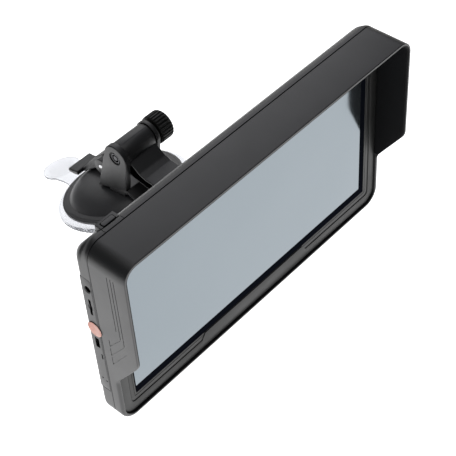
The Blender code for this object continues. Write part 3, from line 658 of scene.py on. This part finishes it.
def back_shell():
    """Rear cover with its ports, button hole, sound slots, screw wells and a sunk line round the back."""
    body = solid("rear_cover", loft(shell_sections()), "monitor")
    carve(body, [loft(shell_sections(SHELL_WALL))])
    land = [(9.0, HEIGHT), (13.6, HEIGHT), (13.6, HEIGHT - 4.9), (9.0, HEIGHT - 1.0)]
    join(body, [rod(4.0, place, 15.3, 17.4, "y") for place in CASE_SCREWS.values()]
         + [slab(land, *LAND_X, edge=0.25)])
    cuts = [slab(widened(STRIP_Y, STRIP_Z, GAP, 0.5, 3), LEFT - 1.0, LEFT + 1.1)]
    cuts += port_openings(LEFT - 1.0, LEFT + 5.0)
    cuts.append(slab(widened(BUTTON_X, BUTTON_Y, GAP, 0.9, 4), HEIGHT - 9.0, HEIGHT + 1.0, "z"))
    for x in LAND_X:
        line = rectangle(x - 0.15, x + 0.15, SEAM - 1.0, 13.2, 0.05, 1)
        cuts.append(slab(line, HEIGHT - 0.3, HEIGHT + 1.0, "z"))
    for row in range(5):
        z = 87.0 + 4.0 * row
        cuts.append(slab(rectangle(60.0, 80.0, z - 0.8, z + 0.8, 0.75), BACK - 5.0, BACK + 1.0, "y"))
    for place in CASE_SCREWS.values():
        cuts += [rod(CASE_BORE, place, 12.0, 30.0, "y", 24), rod(3.0, place, 16.8, 30.0, "y", 40)]
    cuts += [rod(CASE_BORE, place, 15.0, 30.0, "y", 20) for place in RAIL_SCREWS.values()]
    half, low, high = HALF - 19.0, 19.0, HEIGHT - 21.0
    ring = [rectangle(-half + k, half - k, low + k, high - k, 5.0 - k) for k in (0.0, 0.5)]
    depths = ((ring[0], BACK + 1.0), (ring[0], BACK - 0.4), (ring[1], BACK - 0.4), (ring[1], BACK + 1.0))
    cuts.append(loft([[(x, y, z) for x, z in line] for line, y in depths], ring=True))
    carve(body, cuts)
    dress(body, HOUSING, ["back_shell"])


def port_strip():
    """Strip let into the left wall, with its ports' rims chamfered."""
    chamfer = [(0.0, LEFT - 0.5), (3.1, LEFT - 0.5), (2.6, LEFT + 0.02), (2.1, LEFT + 0.35),
               (0.0, LEFT + 0.35)]
    notch = slab(rectangle(7.9, 11.1, 90.6, 93.7, 0.6, 4), LEFT - 0.5, LEFT + 0.28)
    piece("port_plate", slab(rectangle(*STRIP_Y, *STRIP_Z, 0.3, 3), LEFT + 0.8, LEFT, far_edge=0.12, steps=2),
          "monitor", HOUSING, ["port_strip"],
          cut=port_openings(LEFT - 1.0, LEFT + 2.0) + [turned_along("x", chamfer, 40, (0.0, *JACK)), notch])


def sockets():
    """What shows in the ports: the jack's barrel, the card guides, the connector's shell and its tongue."""
    near, far = LEFT + 2.6, LEFT + 14.5
    seat = 12.5
    y, z = seat - 3.0, JACK[1]
    piece("jack_body", slab(rectangle(seat - 6.0, seat, z - 3.1, z + 3.1, 0.5, 3), near, far, edge=0.2),
          "monitor", MOUNT, ["audio_jack"], cut=[rod(1.8, (y, z), -WIDTH, far - 1.0, sides=28)])
    sleeve = [(1.35, near + 0.1), (1.75, near + 0.1), (1.75, near + 6.0), (1.35, near + 6.0)]
    piece("jack_contact", turned_along("x", sleeve, 28, (0.0, y, z)), "monitor", GOLD)
    piece("card_guide", slab(rectangle(seat - 4.0, seat, 85.0, 99.3, 0.4, 3), near, far, edge=0.15), "monitor",
          DARK_STEEL, ["card_slot"],
          cut=[slab(rectangle(seat - 3.5, seat - 2.5, *CARD_Z, 0.2, 2), -WIDTH, far - 1.0)])
    shell = rounded([(seat - 4.4, 60.3), (seat, 59.8), (seat, 68.2), (seat - 4.4, 67.7)], 0.5, 3)
    mouth = rounded([(seat - 4.0, 60.8), (seat - 0.8, 60.4), (seat - 0.8, 67.6), (seat - 4.0, 67.2)], 0.4, 3)
    piece("connector_shell", slab(shell, near, far - 6.0, edge=0.1), "monitor", STEEL, ["usb_socket"],
          cut=[slab(mouth, -WIDTH, far - 7.0)])
    tongue = slab(rectangle(seat - 2.6, seat - 1.9, 61.5, 66.5, 0.1, 2), near + 1.0, far - 7.3, edge=0.08)
    piece("connector_tongue", tongue, "monitor", MOUNT, ["usb_tongue"])


def round_label():
    """Plain round label over the strip, slightly crowned."""
    disc = [(0.0, LEFT - 0.5), (3.3, LEFT - 0.495), (4.5, LEFT - 0.46), (4.9, LEFT - 0.42), (5.0, LEFT - 0.36),
            (5.0, LEFT - 0.3), (0.0, LEFT - 0.3)]
    piece("salmon_label", turned_along("x", disc, centre=(0.0, 9.4, 75.0)), "monitor", LABEL, ["round_label"])


def power_button():
    """Pill-shaped button with a crowned top, on a flange under the wall."""
    outline = rectangle(*BUTTON_X, *BUTTON_Y, 1.1, 6)
    flange = rectangle(BUTTON_X[0] - 1.0, BUTTON_X[1] + 1.0, *BUTTON_Y, 0.5, 3)
    piece("power_key", slab(outline, HEIGHT - 6.6, HEIGHT + 0.4, "z", far_edge=0.4, steps=5), "monitor",
          HOUSING, ["power_button"], "button",
          joined=[slab(flange, HEIGHT - 6.8, HEIGHT - 5.6, "z", edge=0.1)])


def cross_screws(name, nodes, places, radius, head, shank, drive, axis, frame_name):
    """Pan-head screws along an axis at named places: head is (start, end) with a cross drive sunk in its end,
    and shank is (start, end, radius)."""
    way = 1.0 if head[1] > head[0] else -1.0
    crown = [(0.0, head[0]), (radius, head[0]), (radius, head[1] - way * 0.7),
             (0.93 * radius, head[1] - way * 0.3), (0.7 * radius, head[1] - way * 0.06), (0.0, head[1])]
    shaft = [(0.0, shank[0]), (shank[2], shank[0]), (shank[2], shank[1]), (0.0, shank[1])]
    depth = sorted((head[1] - way * drive, head[1] + way))
    arms = (0.62 * radius, 0.16 * radius)
    for key, (x, z) in places.items():
        parts = [turned_along(axis, line, 32, PLACES[axis](x, z, 0.0)) for line in (crown, shaft)]
        bars = [[(x - a, z - b), (x + a, z - b), (x + a, z + b), (x - a, z + b)]
                for a, b in (arms, arms[::-1])]
        piece(f"{name}_{key}", parts[0], frame_name, DARK_STEEL, [f"{nodes}_{key}"], joined=parts[1:],
              cut=[slab(bar, *depth, axis) for bar in bars])


def housing_screws():
    """Four screws in the wells at the shell's corners."""
    cross_screws("case_screw", "housing_screw", CASE_SCREWS, 2.4, (17.1, 18.7), (8.0, 17.5, 1.1), 0.7, "y",
                 "monitor")


def slide_rail():
    """Rail on the shell with a T slot open at the bottom, and its four screws."""
    outline = rectangle(-22.0, 22.0, 36.0, 78.0, 3.0, 6)
    cuts = [slab(rectangle(-13.3, 13.3, 20.0, 66.3, 0.3, 2), 27.0, 30.5, "y"),
            slab(rectangle(-8.3, 8.3, 20.0, 66.3, 0.6, 3), 30.2, 40.0, "y")]
    for place in RAIL_SCREWS.values():
        cuts += [rod(1.4, place, 20.0, 40.0, "y", 20), rod(2.7, place, 31.5, 40.0, "y")]
    for z in (48.0, 54.0, 60.0, 66.0):
        for x_low, x_high in ((-20.6, -11.0), (11.0, 20.6)):
            cuts.append(slab(rectangle(x_low, x_high, z - 0.5, z + 0.5, 0.4, 3), 33.1, 40.0, "y"))
    piece("mount_rail", slab(outline, BACK + GAP, 33.5, "y", edge=0.2, far_edge=0.9, steps=4), "monitor",
          HOUSING, ["slide_rail"], cut=cuts)
    cross_screws("track_screw", "rail_screw", RAIL_SCREWS, 2.2, (31.8, 33.2), (17.0, 32.5, 1.0), 0.5, "y",
                 "monitor")


# ---------- mount: arm, hinge and knob
BARREL = 8.2
ARM_HALF = 11.2
CHEEK_INNER = 11.5
CHEEK_OUTER = (15.6, 14.4)  # left cheek, right cheek
CHEEK_RADIUS = 8.9
BORE = 2.3
HEX_FLATS = 7.0
WASHER_X = (14.7, 15.5)
KNOB_X = (15.8, 26.2)
KNOB_RADIUS = 9.4
KNOB_TEETH = 26


def seen(points):
    """Points given in the monitor's frame, moved to the tilt axis."""
    return [(y - BASE.y, z - BASE.z) for y, z in points]


def inside(point, outline):
    """Whether a point lies in an outline."""
    hit = False
    for (a, b), (c, d) in zip(outline, outline[1:] + outline[:1]):
        if (b > point[1]) != (d > point[1]) and point[0] < a + (c - a) * (point[1] - b) / (d - b):
            hit = not hit
    return hit


def tilt_arm():
    """Barrel and beam in one moulding, with a pocket in each flank whose faces carry painted shade."""
    ends = [(BARREL - 0.6, ARM_HALF), (BARREL - 0.18, ARM_HALF - 0.18), (BARREL, ARM_HALF - 0.6)]
    barrel = [(0.0, -ARM_HALF)] + [(r, -x) for r, x in ends] + ends[::-1] + [(0.0, ARM_HALF)]
    beam = rounded(seen([(93.5, 81.5), (86.8, 71.5), (80.0, 66.3), (75.5, 64.8), (66.0, 64.0), (36.9, 64.0),
                         (36.9, 47.5), (58.0, 47.5), (66.0, 53.5), (73.0, 57.6), (86.0, 60.0), (93.0, 63.0),
                         (99.0, 66.5), (101.5, 69.0)]), [0, 5, 5, 3, 3, 1, 1, 3, 5, 6, 8, 5, 3, 0], 6)
    pocket = rounded(seen([(42.5, 63.0), (66.0, 63.0), (75.7, 63.8), (80.3, 65.3), (86.2, 70.0), (90.2, 65.3),
                           (86.0, 61.1), (72.8, 58.7), (65.5, 55.0), (57.5, 49.0), (42.5, 49.0)]),
                     [0.8, 3, 3, 3, 1, 1.5, 4, 4, 4, 3, 0.8], 5)
    cuts = [slab(pocket, -20.0, -5.0), slab(pocket, 5.0, 20.0), rod(BORE, (0.0, 0.0), -20.0, 20.0)]
    cuts += [rod(SMALL_BORE, place, 26.9 - BASE.y, 48.9 - BASE.y, "y", 20) for place in FOOT_SCREWS.values()]
    body = piece("arm_moulding", turned_along("x", barrel, 96), "hinge", MOUNT, ["tilt_arm"],
                 joined=[slab(beam, 0.15 - ARM_HALF, ARM_HALF - 0.15, edge=0.7, steps=5)], cut=cuts)
    wide = shrink(pocket, -0.05)
    # Painted shade on the pocket faces, standing in for the black that the cheek and dome would cast there.
    repaint(body, PAINTED_SHADE, lambda at, _: 4.9 < abs(at.x) < ARM_HALF - 0.5 and inside((at.y, at.z), wide))


def slide_foot():
    """T-shaped foot in the rail, with its two screws."""
    near, far = 27.3 - BASE.y, 30.2 - BASE.y
    low, high = FOOT_Z
    neck = rectangle(-8.0, 8.0, low + 1.0, high - 1.0, 0.6, 3)
    cuts = []
    for place in FOOT_SCREWS.values():
        cuts += [rod(SMALL_BORE, place, near - 5.0, 40.0 - BASE.y, "y", 20),
                 rod(2.4, place, near - 5.0, near + 2.0, "y", 28)]
    piece("slide_tee", slab(rectangle(-13.0, 13.0, low, high, 0.8, 3), near, far, "y", edge=0.25), "hinge",
          MOUNT, ["slide_foot"], joined=[slab(neck, near + 1.0, 36.6 - BASE.y, "y", edge=0.2)], cut=cuts)
    cross_screws("tee_screw", "foot_screw", FOOT_SCREWS, 2.0, (near + 1.7, near + 0.3),
                 (near + 1.0, near + 18.0, 1.0), 0.6, "y", "hinge")


def hinge_bolt():
    """Bolt with its hexagon head sunk in the left cheek, and the washer under the knob."""
    shank = [(0.0, -14.1), (2.0, -14.1), (2.0, 23.5), (1.6, 24.0), (0.0, 24.0)]
    groove = [(1.6, -16.0), (1.6, -14.3), (2.5, -14.3), (2.8, -16.0)]
    head = slab(hexagon(HEX_FLATS, turn=math.degrees(CUP_TILT)), -15.1, -13.0, edge=0.3)
    # The sunk hexagon head carries painted shade, standing in for the dark of its deep recess; its end face is
    # dark steel.
    bolt = piece("pivot_bolt", head, "hinge", PAINTED_SHADE, ["hinge_bolt"], "suction_base",
                 joined=[turned_along("x", shank, 40)], cut=[turned_along("x", groove, 40)])
    repaint(bolt, DARK_STEEL, lambda at, _: at.x < -14.6 and math.hypot(at.y, at.z) < 1.7)
    near, far = WASHER_X
    ring = [(BORE, near + 0.05), (BORE + 0.15, near), (5.4, near), (5.6, near + 0.15), (5.6, far - 0.15),
            (5.4, far), (BORE + 0.15, far), (BORE, far - 0.05)]
    piece("pivot_washer", turned_along("x", ring), "hinge", STEEL, ["hinge_washer"], "washer")


def knob_ring(x, radius, depth):
    """A ring of the knob: flat-topped ridges with narrow grooves between them."""
    points = []
    steps = KNOB_TEETH * 8
    for k in range(steps):
        angle = 2 * math.pi * k / steps
        wave = math.cos(KNOB_TEETH * angle)
        groove = min(1.0, max(0.0, 0.5 - 0.95 * (wave + 0.25)))
        reach = radius - depth * groove
        points.append((x, reach * math.cos(angle), reach * math.sin(angle)))
    return points


def tilt_knob():
    """Knurled knob with a rounded outer end and a dished face, and the nut that it holds."""
    near, far = KNOB_X
    depth = 0.8
    edge = KNOB_RADIUS
    rings = [(near, edge - 1.1, 0.0), (near + 0.15, edge - 0.75, 0.0), (near + 0.3, edge - 0.5, 0.1),
             (near + 0.8, edge, depth), (far - 1.9, edge, depth), (far - 1.2, edge - 0.12, depth),
             (far - 0.65, edge - 0.42, 0.45), (far - 0.22, edge - 0.95, 0.15), (far, edge - 1.7, 0.0),
             (far, 5.6, 0.0), (far - 0.5, 5.0, 0.0), (far - 0.6, 0.6, 0.0)]
    bore = rod(BORE, (0.0, 0.0), 0.0, far - 1.9)
    piece("tilt_handle", loft([knob_ring(*ring) for ring in rings]), "hinge", KNOB, ["tilt_knob"], "knob",
          cut=[bore, slab(hexagon(HEX_FLATS + 2 * GAP), 0.0, near + 4.6)])
    piece("captive_nut", slab(hexagon(HEX_FLATS), near + 0.3, near + 4.3, edge=0.3), "hinge", DARK_STEEL,
          ["knob_nut"], "knob", cut=[rod(BORE, (0.0, 0.0), 0.0, far)])


# ---------- mount: fork and suction cup
DOME_RADIUS = 39.4
DOME_PATH = [(34.4, 6.4), (33.4, 7.6), (31.8, 9.2), (29.2, 10.9), (25.5, 12.4), (21.0, 13.6), (16.0, 14.6),
             (10.0, 15.3)]


def dome_profile():
    """The dome's outer profile from the flange's edge to the boss."""
    flange = [(DOME_RADIUS, 3.8), (DOME_RADIUS, 5.3), (37.2, 5.8), (34.5, 6.3)]
    return (rounded(flange, [0, 0.5, 0, 0], 4, closed=False) + smoothed(DOME_PATH, 2)
            + rounded([(9.0, 15.4), (8.4, 17.2), (5.4, 17.2)], [0, 0.4, 0], 3, closed=False))


def cup_housing():
    """Rigid cup housing: a dome with a wide rim flange, a fine groove in it, and a boss for the stem."""
    inner = [(5.4, 13.0)] + [(r, h - SHELL_WALL) for r, h in reversed(DOME_PATH[1:])] + [(36.4, 3.8)]
    cuts = [turned([(37.3, 7.0), (37.3, 5.55), (37.55, 5.55), (37.55, 7.0)], 144)]
    for place in SADDLE_SCREWS.values():
        cuts += [rod(SMALL_BORE, place, 0.0, 30.0, "z", 20), rod(2.8, place, 0.0, 11.9, "z", 28)]
    piece("cup_dome", turned(dome_profile() + inner, 144), "cup", DOME, ["cup_housing"], cut=cuts, sharp=28.0)


def hinge_fork():
    """Two cheeks on a saddle that sits on the dome, the left one sunk round the bolt's head."""
    pivot = (PIVOT_Y, PIVOT_Z)
    foot = [(-26.3, 17.5), (-16.0, 16.6), (-6.0, 16.0), (0.5, 15.8)]
    outline = arc(pivot, CHEEK_RADIUS, 38, 195, 32) + foot
    left, right = CHEEK_OUTER
    saddle = rounded([(-9.5, 9.0), (-9.5, 20.0), (-20.0, 18.6), (-26.3, 17.2), (-32.5, 11.6), (-31.2, 10.6),
                      (-26.2, 14.8), (-22.8, 14.0), (-21.5, 9.0)], [0, 1, 3, 1.5, 0.3, 0.3, 0.5, 0.5, 0], 4)
    under = [(r, h + GAP) for r, h in [(40.0, 5.4), (38.9, 5.4), (37.2, 5.8)] + DOME_PATH + [(0.0, 15.4)]]
    sink = [(0.0, -17.0), (4.9, -17.0), (4.5, -15.3), (4.4, -14.9), (0.0, -14.9)]
    cuts = [turned([(0.0, 0.0), (40.0, 0.0)] + under), rod(BORE, pivot, -30.0, 30.0),
            slab(hexagon(HEX_FLATS + 2 * GAP, pivot), -30.0, -12.7),
            turned_along("x", sink, centre=(0.0, *pivot))]
    cuts += [rod(SMALL_BORE, place, 0.0, 18.0, "z", 20) for place in SADDLE_SCREWS.values()]
    piece("fork_moulding", slab(outline, -left, -CHEEK_INNER, edge=0.7, far_edge=0.25, steps=4), "cup", MOUNT,
          ["hinge_fork"], joined=[slab(outline, CHEEK_INNER, right, edge=0.25, far_edge=0.7, steps=4),
                                  slab(saddle, 0.4 - left, right - 0.4, edge=0.3)], cut=cuts)
    cross_screws("saddle_screw", "fork_screw", SADDLE_SCREWS, 2.4, (11.6, 10.2), (11.0, 17.5, 1.0), 0.5, "z",
                 "cup")


PAD_RADIUS = 43.4
TAB_CENTRE = Vector((1.5, 66.1))
TAB_RADIUS = 12.8


def suction_pad():
    """Clear pad with a rolled lip, its boss, and the pull tab with raised grip lines."""
    lip = rounded([(42.2, 0.0), (PAD_RADIUS, 0.2), (PAD_RADIUS, 2.1), (42.6, 2.8), (41.4, 3.3)],
                  [0, 0.5, 0.6, 0.4, 0], 4, closed=False)
    profile = [(0.0, 0.0)] + lip + [(40.6, 3.3), (33.0, 3.3), (12.0, 3.0), (9.2, 3.8), (9.2, 9.6), (4.5, 9.6),
                                    (4.5, 8.2), (7.4, 8.2), (7.4, 2.6), (0.0, 2.6)]
    body = solid("clear_pad", turned(profile, 144), "cup")
    along = TAB_CENTRE.normalized()
    across = Vector((along.y, -along.x))
    tip = math.degrees(math.atan2(along.y, along.x))
    neck = [(39.0, 14.2), (41.0, 13.0), (45.0, 11.6), (51.0, 11.0), (56.0, 11.0)]
    sides = [[tuple(out * along + way * half * across) for out, half in neck] for way in (1, -1)]
    outline = sides[0] + arc(TAB_CENTRE, TAB_RADIUS, tip - 120, tip + 120, 36) + sides[1][::-1]
    join(body, [slab(outline, 0.3, 1.8, "z", edge=0.35),
                slab(circle(TAB_RADIUS - 1.6, TAB_CENTRE, 64), 1.0, 1.95, "z", edge=0.1)])
    carve(body, [rod(TAB_RADIUS - 2.6, TAB_CENTRE, 1.75, 3.0, "z", 64)])
    ribs = []
    for step in range(-3, 4):
        middle = TAB_CENTRE + along * 2.4 * step
        reach = across * math.sqrt((TAB_RADIUS - 4.2) ** 2 - (2.4 * step) ** 2)
        bar = [tuple(middle + reach * side + along * 0.5 * way)
               for side, way in ((1, 1), (1, -1), (-1, -1), (-1, 1))]
        ribs.append(slab(rounded(bar, 0.45, 3), 1.2, 1.95, "z", edge=0.15))
    join(body, ribs)
    dress(body, CLEAR, ["suction_pad"])


PIN_RADIUS = 1.9


def cam_outline(steps=60):
    """Round the pin from straight down towards the front: the cam's radius falls as it turns."""
    hub = []
    for k in range(steps):
        turn = 2 * math.pi * k / steps
        falling = turn < math.pi * 1.2
        share = min(turn / math.radians(95), 1.0) if falling else (2 * math.pi - turn) / (0.8 * math.pi)
        radius = 7.4 - 2.0 * share
        hub.append((-radius * math.sin(turn), -radius * math.cos(turn)))
    return hub


def lock_lever():
    """Cam lever with its arm, a T-shaped thumb end, and a slot round the stem."""
    arm = rounded([(1.0, 6.4), (11.0, 2.0), (22.0, -5.6), (29.5, -11.0), (34.5, -11.3), (39.6, -10.2),
                   (39.6, -13.0), (34.5, -14.0), (30.0, -13.9), (21.0, -10.0), (11.0, -6.6), (1.0, -5.0)],
                  [0, 8, 14, 5, 8, 1.2, 1.2, 8, 6, 12, 8, 0], 6)
    head = rounded([(30.5, -10.9), (34.5, -11.2), (39.7, -10.1), (39.7, -13.1), (34.5, -14.1), (30.5, -13.9)],
                   [0.8, 6, 1.2, 1.2, 6, 0.8], 4)
    slot = rounded([(5.2, 5.2), (-20.0, 5.2), (-20.0, -20.0), (5.2, -20.0)], [1.0, 0, 0, 1.0], 4)
    piece("cam_lever", slab(cam_outline(), -9.8, 9.8, edge=0.5), "pin", MOUNT, ["lock_lever"],
          joined=[slab(arm, -4.6, 4.6, edge=0.7, steps=4), slab(head, -9.4, 9.4, edge=0.8, steps=4)],
          cut=[slab(slot, -3.7, 3.7), rod(PIN_RADIUS + GAP, (0.0, 0.0), -20.0, 20.0)])


def stem_and_spring():
    """Pull stem in the boss, the lever's bright pin, and the return spring."""
    profile = [(0.0, 5.4), (6.6, 5.4), (6.8, 5.6), (6.8, 7.5), (6.6, 7.7), (4.2, 7.7), (3.9, 8.0), (3.9, 15.0),
               (3.3, 16.5), (3.3, 28.0), (2.8, 28.5), (0.0, 28.5)]
    piece("stem_rod", turned(profile, 64), "cup", MOUNT, ["pull_stem"], "stem",
          cut=[rod(PIN_RADIUS + GAP, (0.0, PIN_HEIGHT), -20.0, 20.0)])
    end = [(PIN_RADIUS, 9.8), (PIN_RADIUS - 0.08, 10.08), (PIN_RADIUS - 0.35, 10.2), (0.0, 10.2)]
    pin = [(radius, -x) for radius, x in reversed(end)] + end
    piece("bright_pin", turned_along("x", pin, 48), "pin", STEEL, ["lever_pin"], "stem")
    turns, steps, sides, wire = 2, 48, 12, 0.3
    sections = []
    for k in range(turns * steps + 1):
        angle = 2 * math.pi * k / steps
        height = 10.1 + wire + (2.4 - 2 * wire) * k / (turns * steps)
        section = []
        for s in (2 * math.pi * n / sides for n in range(sides)):
            reach = 7.2 + wire * math.cos(s)
            section.append((reach * math.cos(angle), reach * math.sin(angle), height + wire * math.sin(s)))
        sections.append(section)
    piece("coil_spring", loft(sections), "cup", STEEL, ["return_spring"])


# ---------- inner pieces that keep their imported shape
def finish_packed_nodes():
    """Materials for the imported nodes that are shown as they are."""
    kept = {"display_panel": SCREEN, "display_tray": DARK_STEEL, "main_board": BOARD, "loudspeaker": MOUNT}
    for name, material in kept.items():
        obj = frame["nodes"][name]
        obj.data.materials.clear()
        obj.data.materials.append(material)


# ---------- floor, light and camera
FLOOR_GLOW = (1.35, 0.12)  # near the object, and far behind it
FLOOR_DROP = -0.22


def stage():
    """Pale floor well below the object, bright enough to read as a white studio."""
    made, place = new_material("studio_white")
    shader = made.node_tree.nodes["Principled BSDF"]
    plain = {"Base Color": (0.9, 0.9, 0.9, 1.0), "Roughness": 0.9, "Specular IOR Level": 0.0,
             "Emission Color": (1.0, 1.0, 1.0, 1.0)}
    for name, value in plain.items():
        shader.inputs[name].default_value = value
    far = node(place, "ShaderNodeSeparateXYZ", {"Vector": place}).outputs["Y"]
    glow = spread(far, *FLOOR_GLOW, 0.52, 0.95, interpolation_type="SMOOTHSTEP")
    made.node_tree.links.new(glow, shader.inputs["Emission Strength"])
    bm = bmesh.new()
    bmesh.ops.create_grid(bm, x_segments=8, y_segments=8, size=4.0)
    mesh = bpy.data.meshes.new("floor")
    bm.to_mesh(mesh)
    bm.free()
    mesh.materials.append(made)
    floor = scene_object("floor", mesh)
    floor.location = (0.0, 0.0, FLOOR_DROP)


def softbox(name, place, size, power, colour=(1.0, 1.0, 1.0)):
    """A soft rectangular light at a place, in metres, aimed at the origin."""
    light = bpy.data.lights.new(name, "AREA")
    light.shape = "RECTANGLE"
    light.size, light.size_y = size
    light.energy = power
    light.color = colour
    obj = scene_object(name, light)
    obj.location = place
    obj.rotation_euler = (-Vector(place)).to_track_quat("-Z", "Y").to_euler()


def lights():
    """Soft studio light: boxes above, one behind and a low one at the right."""
    world = bpy.data.worlds.new("studio")
    bpy.context.scene.world = world
    world.use_nodes = True
    background = world.node_tree.nodes["Background"]
    background.inputs["Color"].default_value = (0.93, 0.96, 1.0, 1.0)
    background.inputs["Strength"].default_value = 0.10
    softbox("top_box", (0.75, 0.70, 1.15), (1.1, 1.1), 3.0, (0.94, 0.94, 1.0))
    softbox("high_box", (-0.15, -0.10, 1.20), (0.8, 0.8), 1.7)
    softbox("back_box", (0.90, 1.30, 0.70), (1.4, 1.4), 4.9)
    softbox("right_box", (1.50, 0.90, 0.10), (0.8, 0.4), 1.0, (1.0, 0.96, 0.90))


CAMERA_PLACE = Vector((-0.37212, -0.45847, 0.56524))
CAMERA_AIM = Vector((0.49358, 0.49161, -0.71742))
CAMERA_UP = Vector((0.56034, 0.45111, 0.69464))
LENS = 102.942


def camera():
    """A long lens from the upper left of the screen's side."""
    data = bpy.data.cameras.new("camera")
    data.lens = LENS
    data.sensor_width = 36.0
    data.clip_start = 0.05
    obj = scene_object("camera", data)
    right = CAMERA_AIM.cross(CAMERA_UP).normalized()
    up = right.cross(CAMERA_AIM).normalized()
    turn = Matrix((right, up, -CAMERA_AIM.normalized())).transposed()
    obj.matrix_world = Matrix.Translation(CAMERA_PLACE) @ turn.to_4x4()
    bpy.context.scene.camera = obj
    bpy.context.scene.view_settings.view_transform = "Standard"


def build():
    """Make every piece, then the stage."""
    for make in (front_housing, bezel, front_pane, back_shell, port_strip, sockets, round_label, power_button,
                 housing_screws, slide_rail, tilt_arm, slide_foot, hinge_bolt, tilt_knob, cup_housing,
                 hinge_fork, suction_pad, lock_lever, stem_and_spring, finish_packed_nodes, camera, lights,
                 stage):
        make()


build()
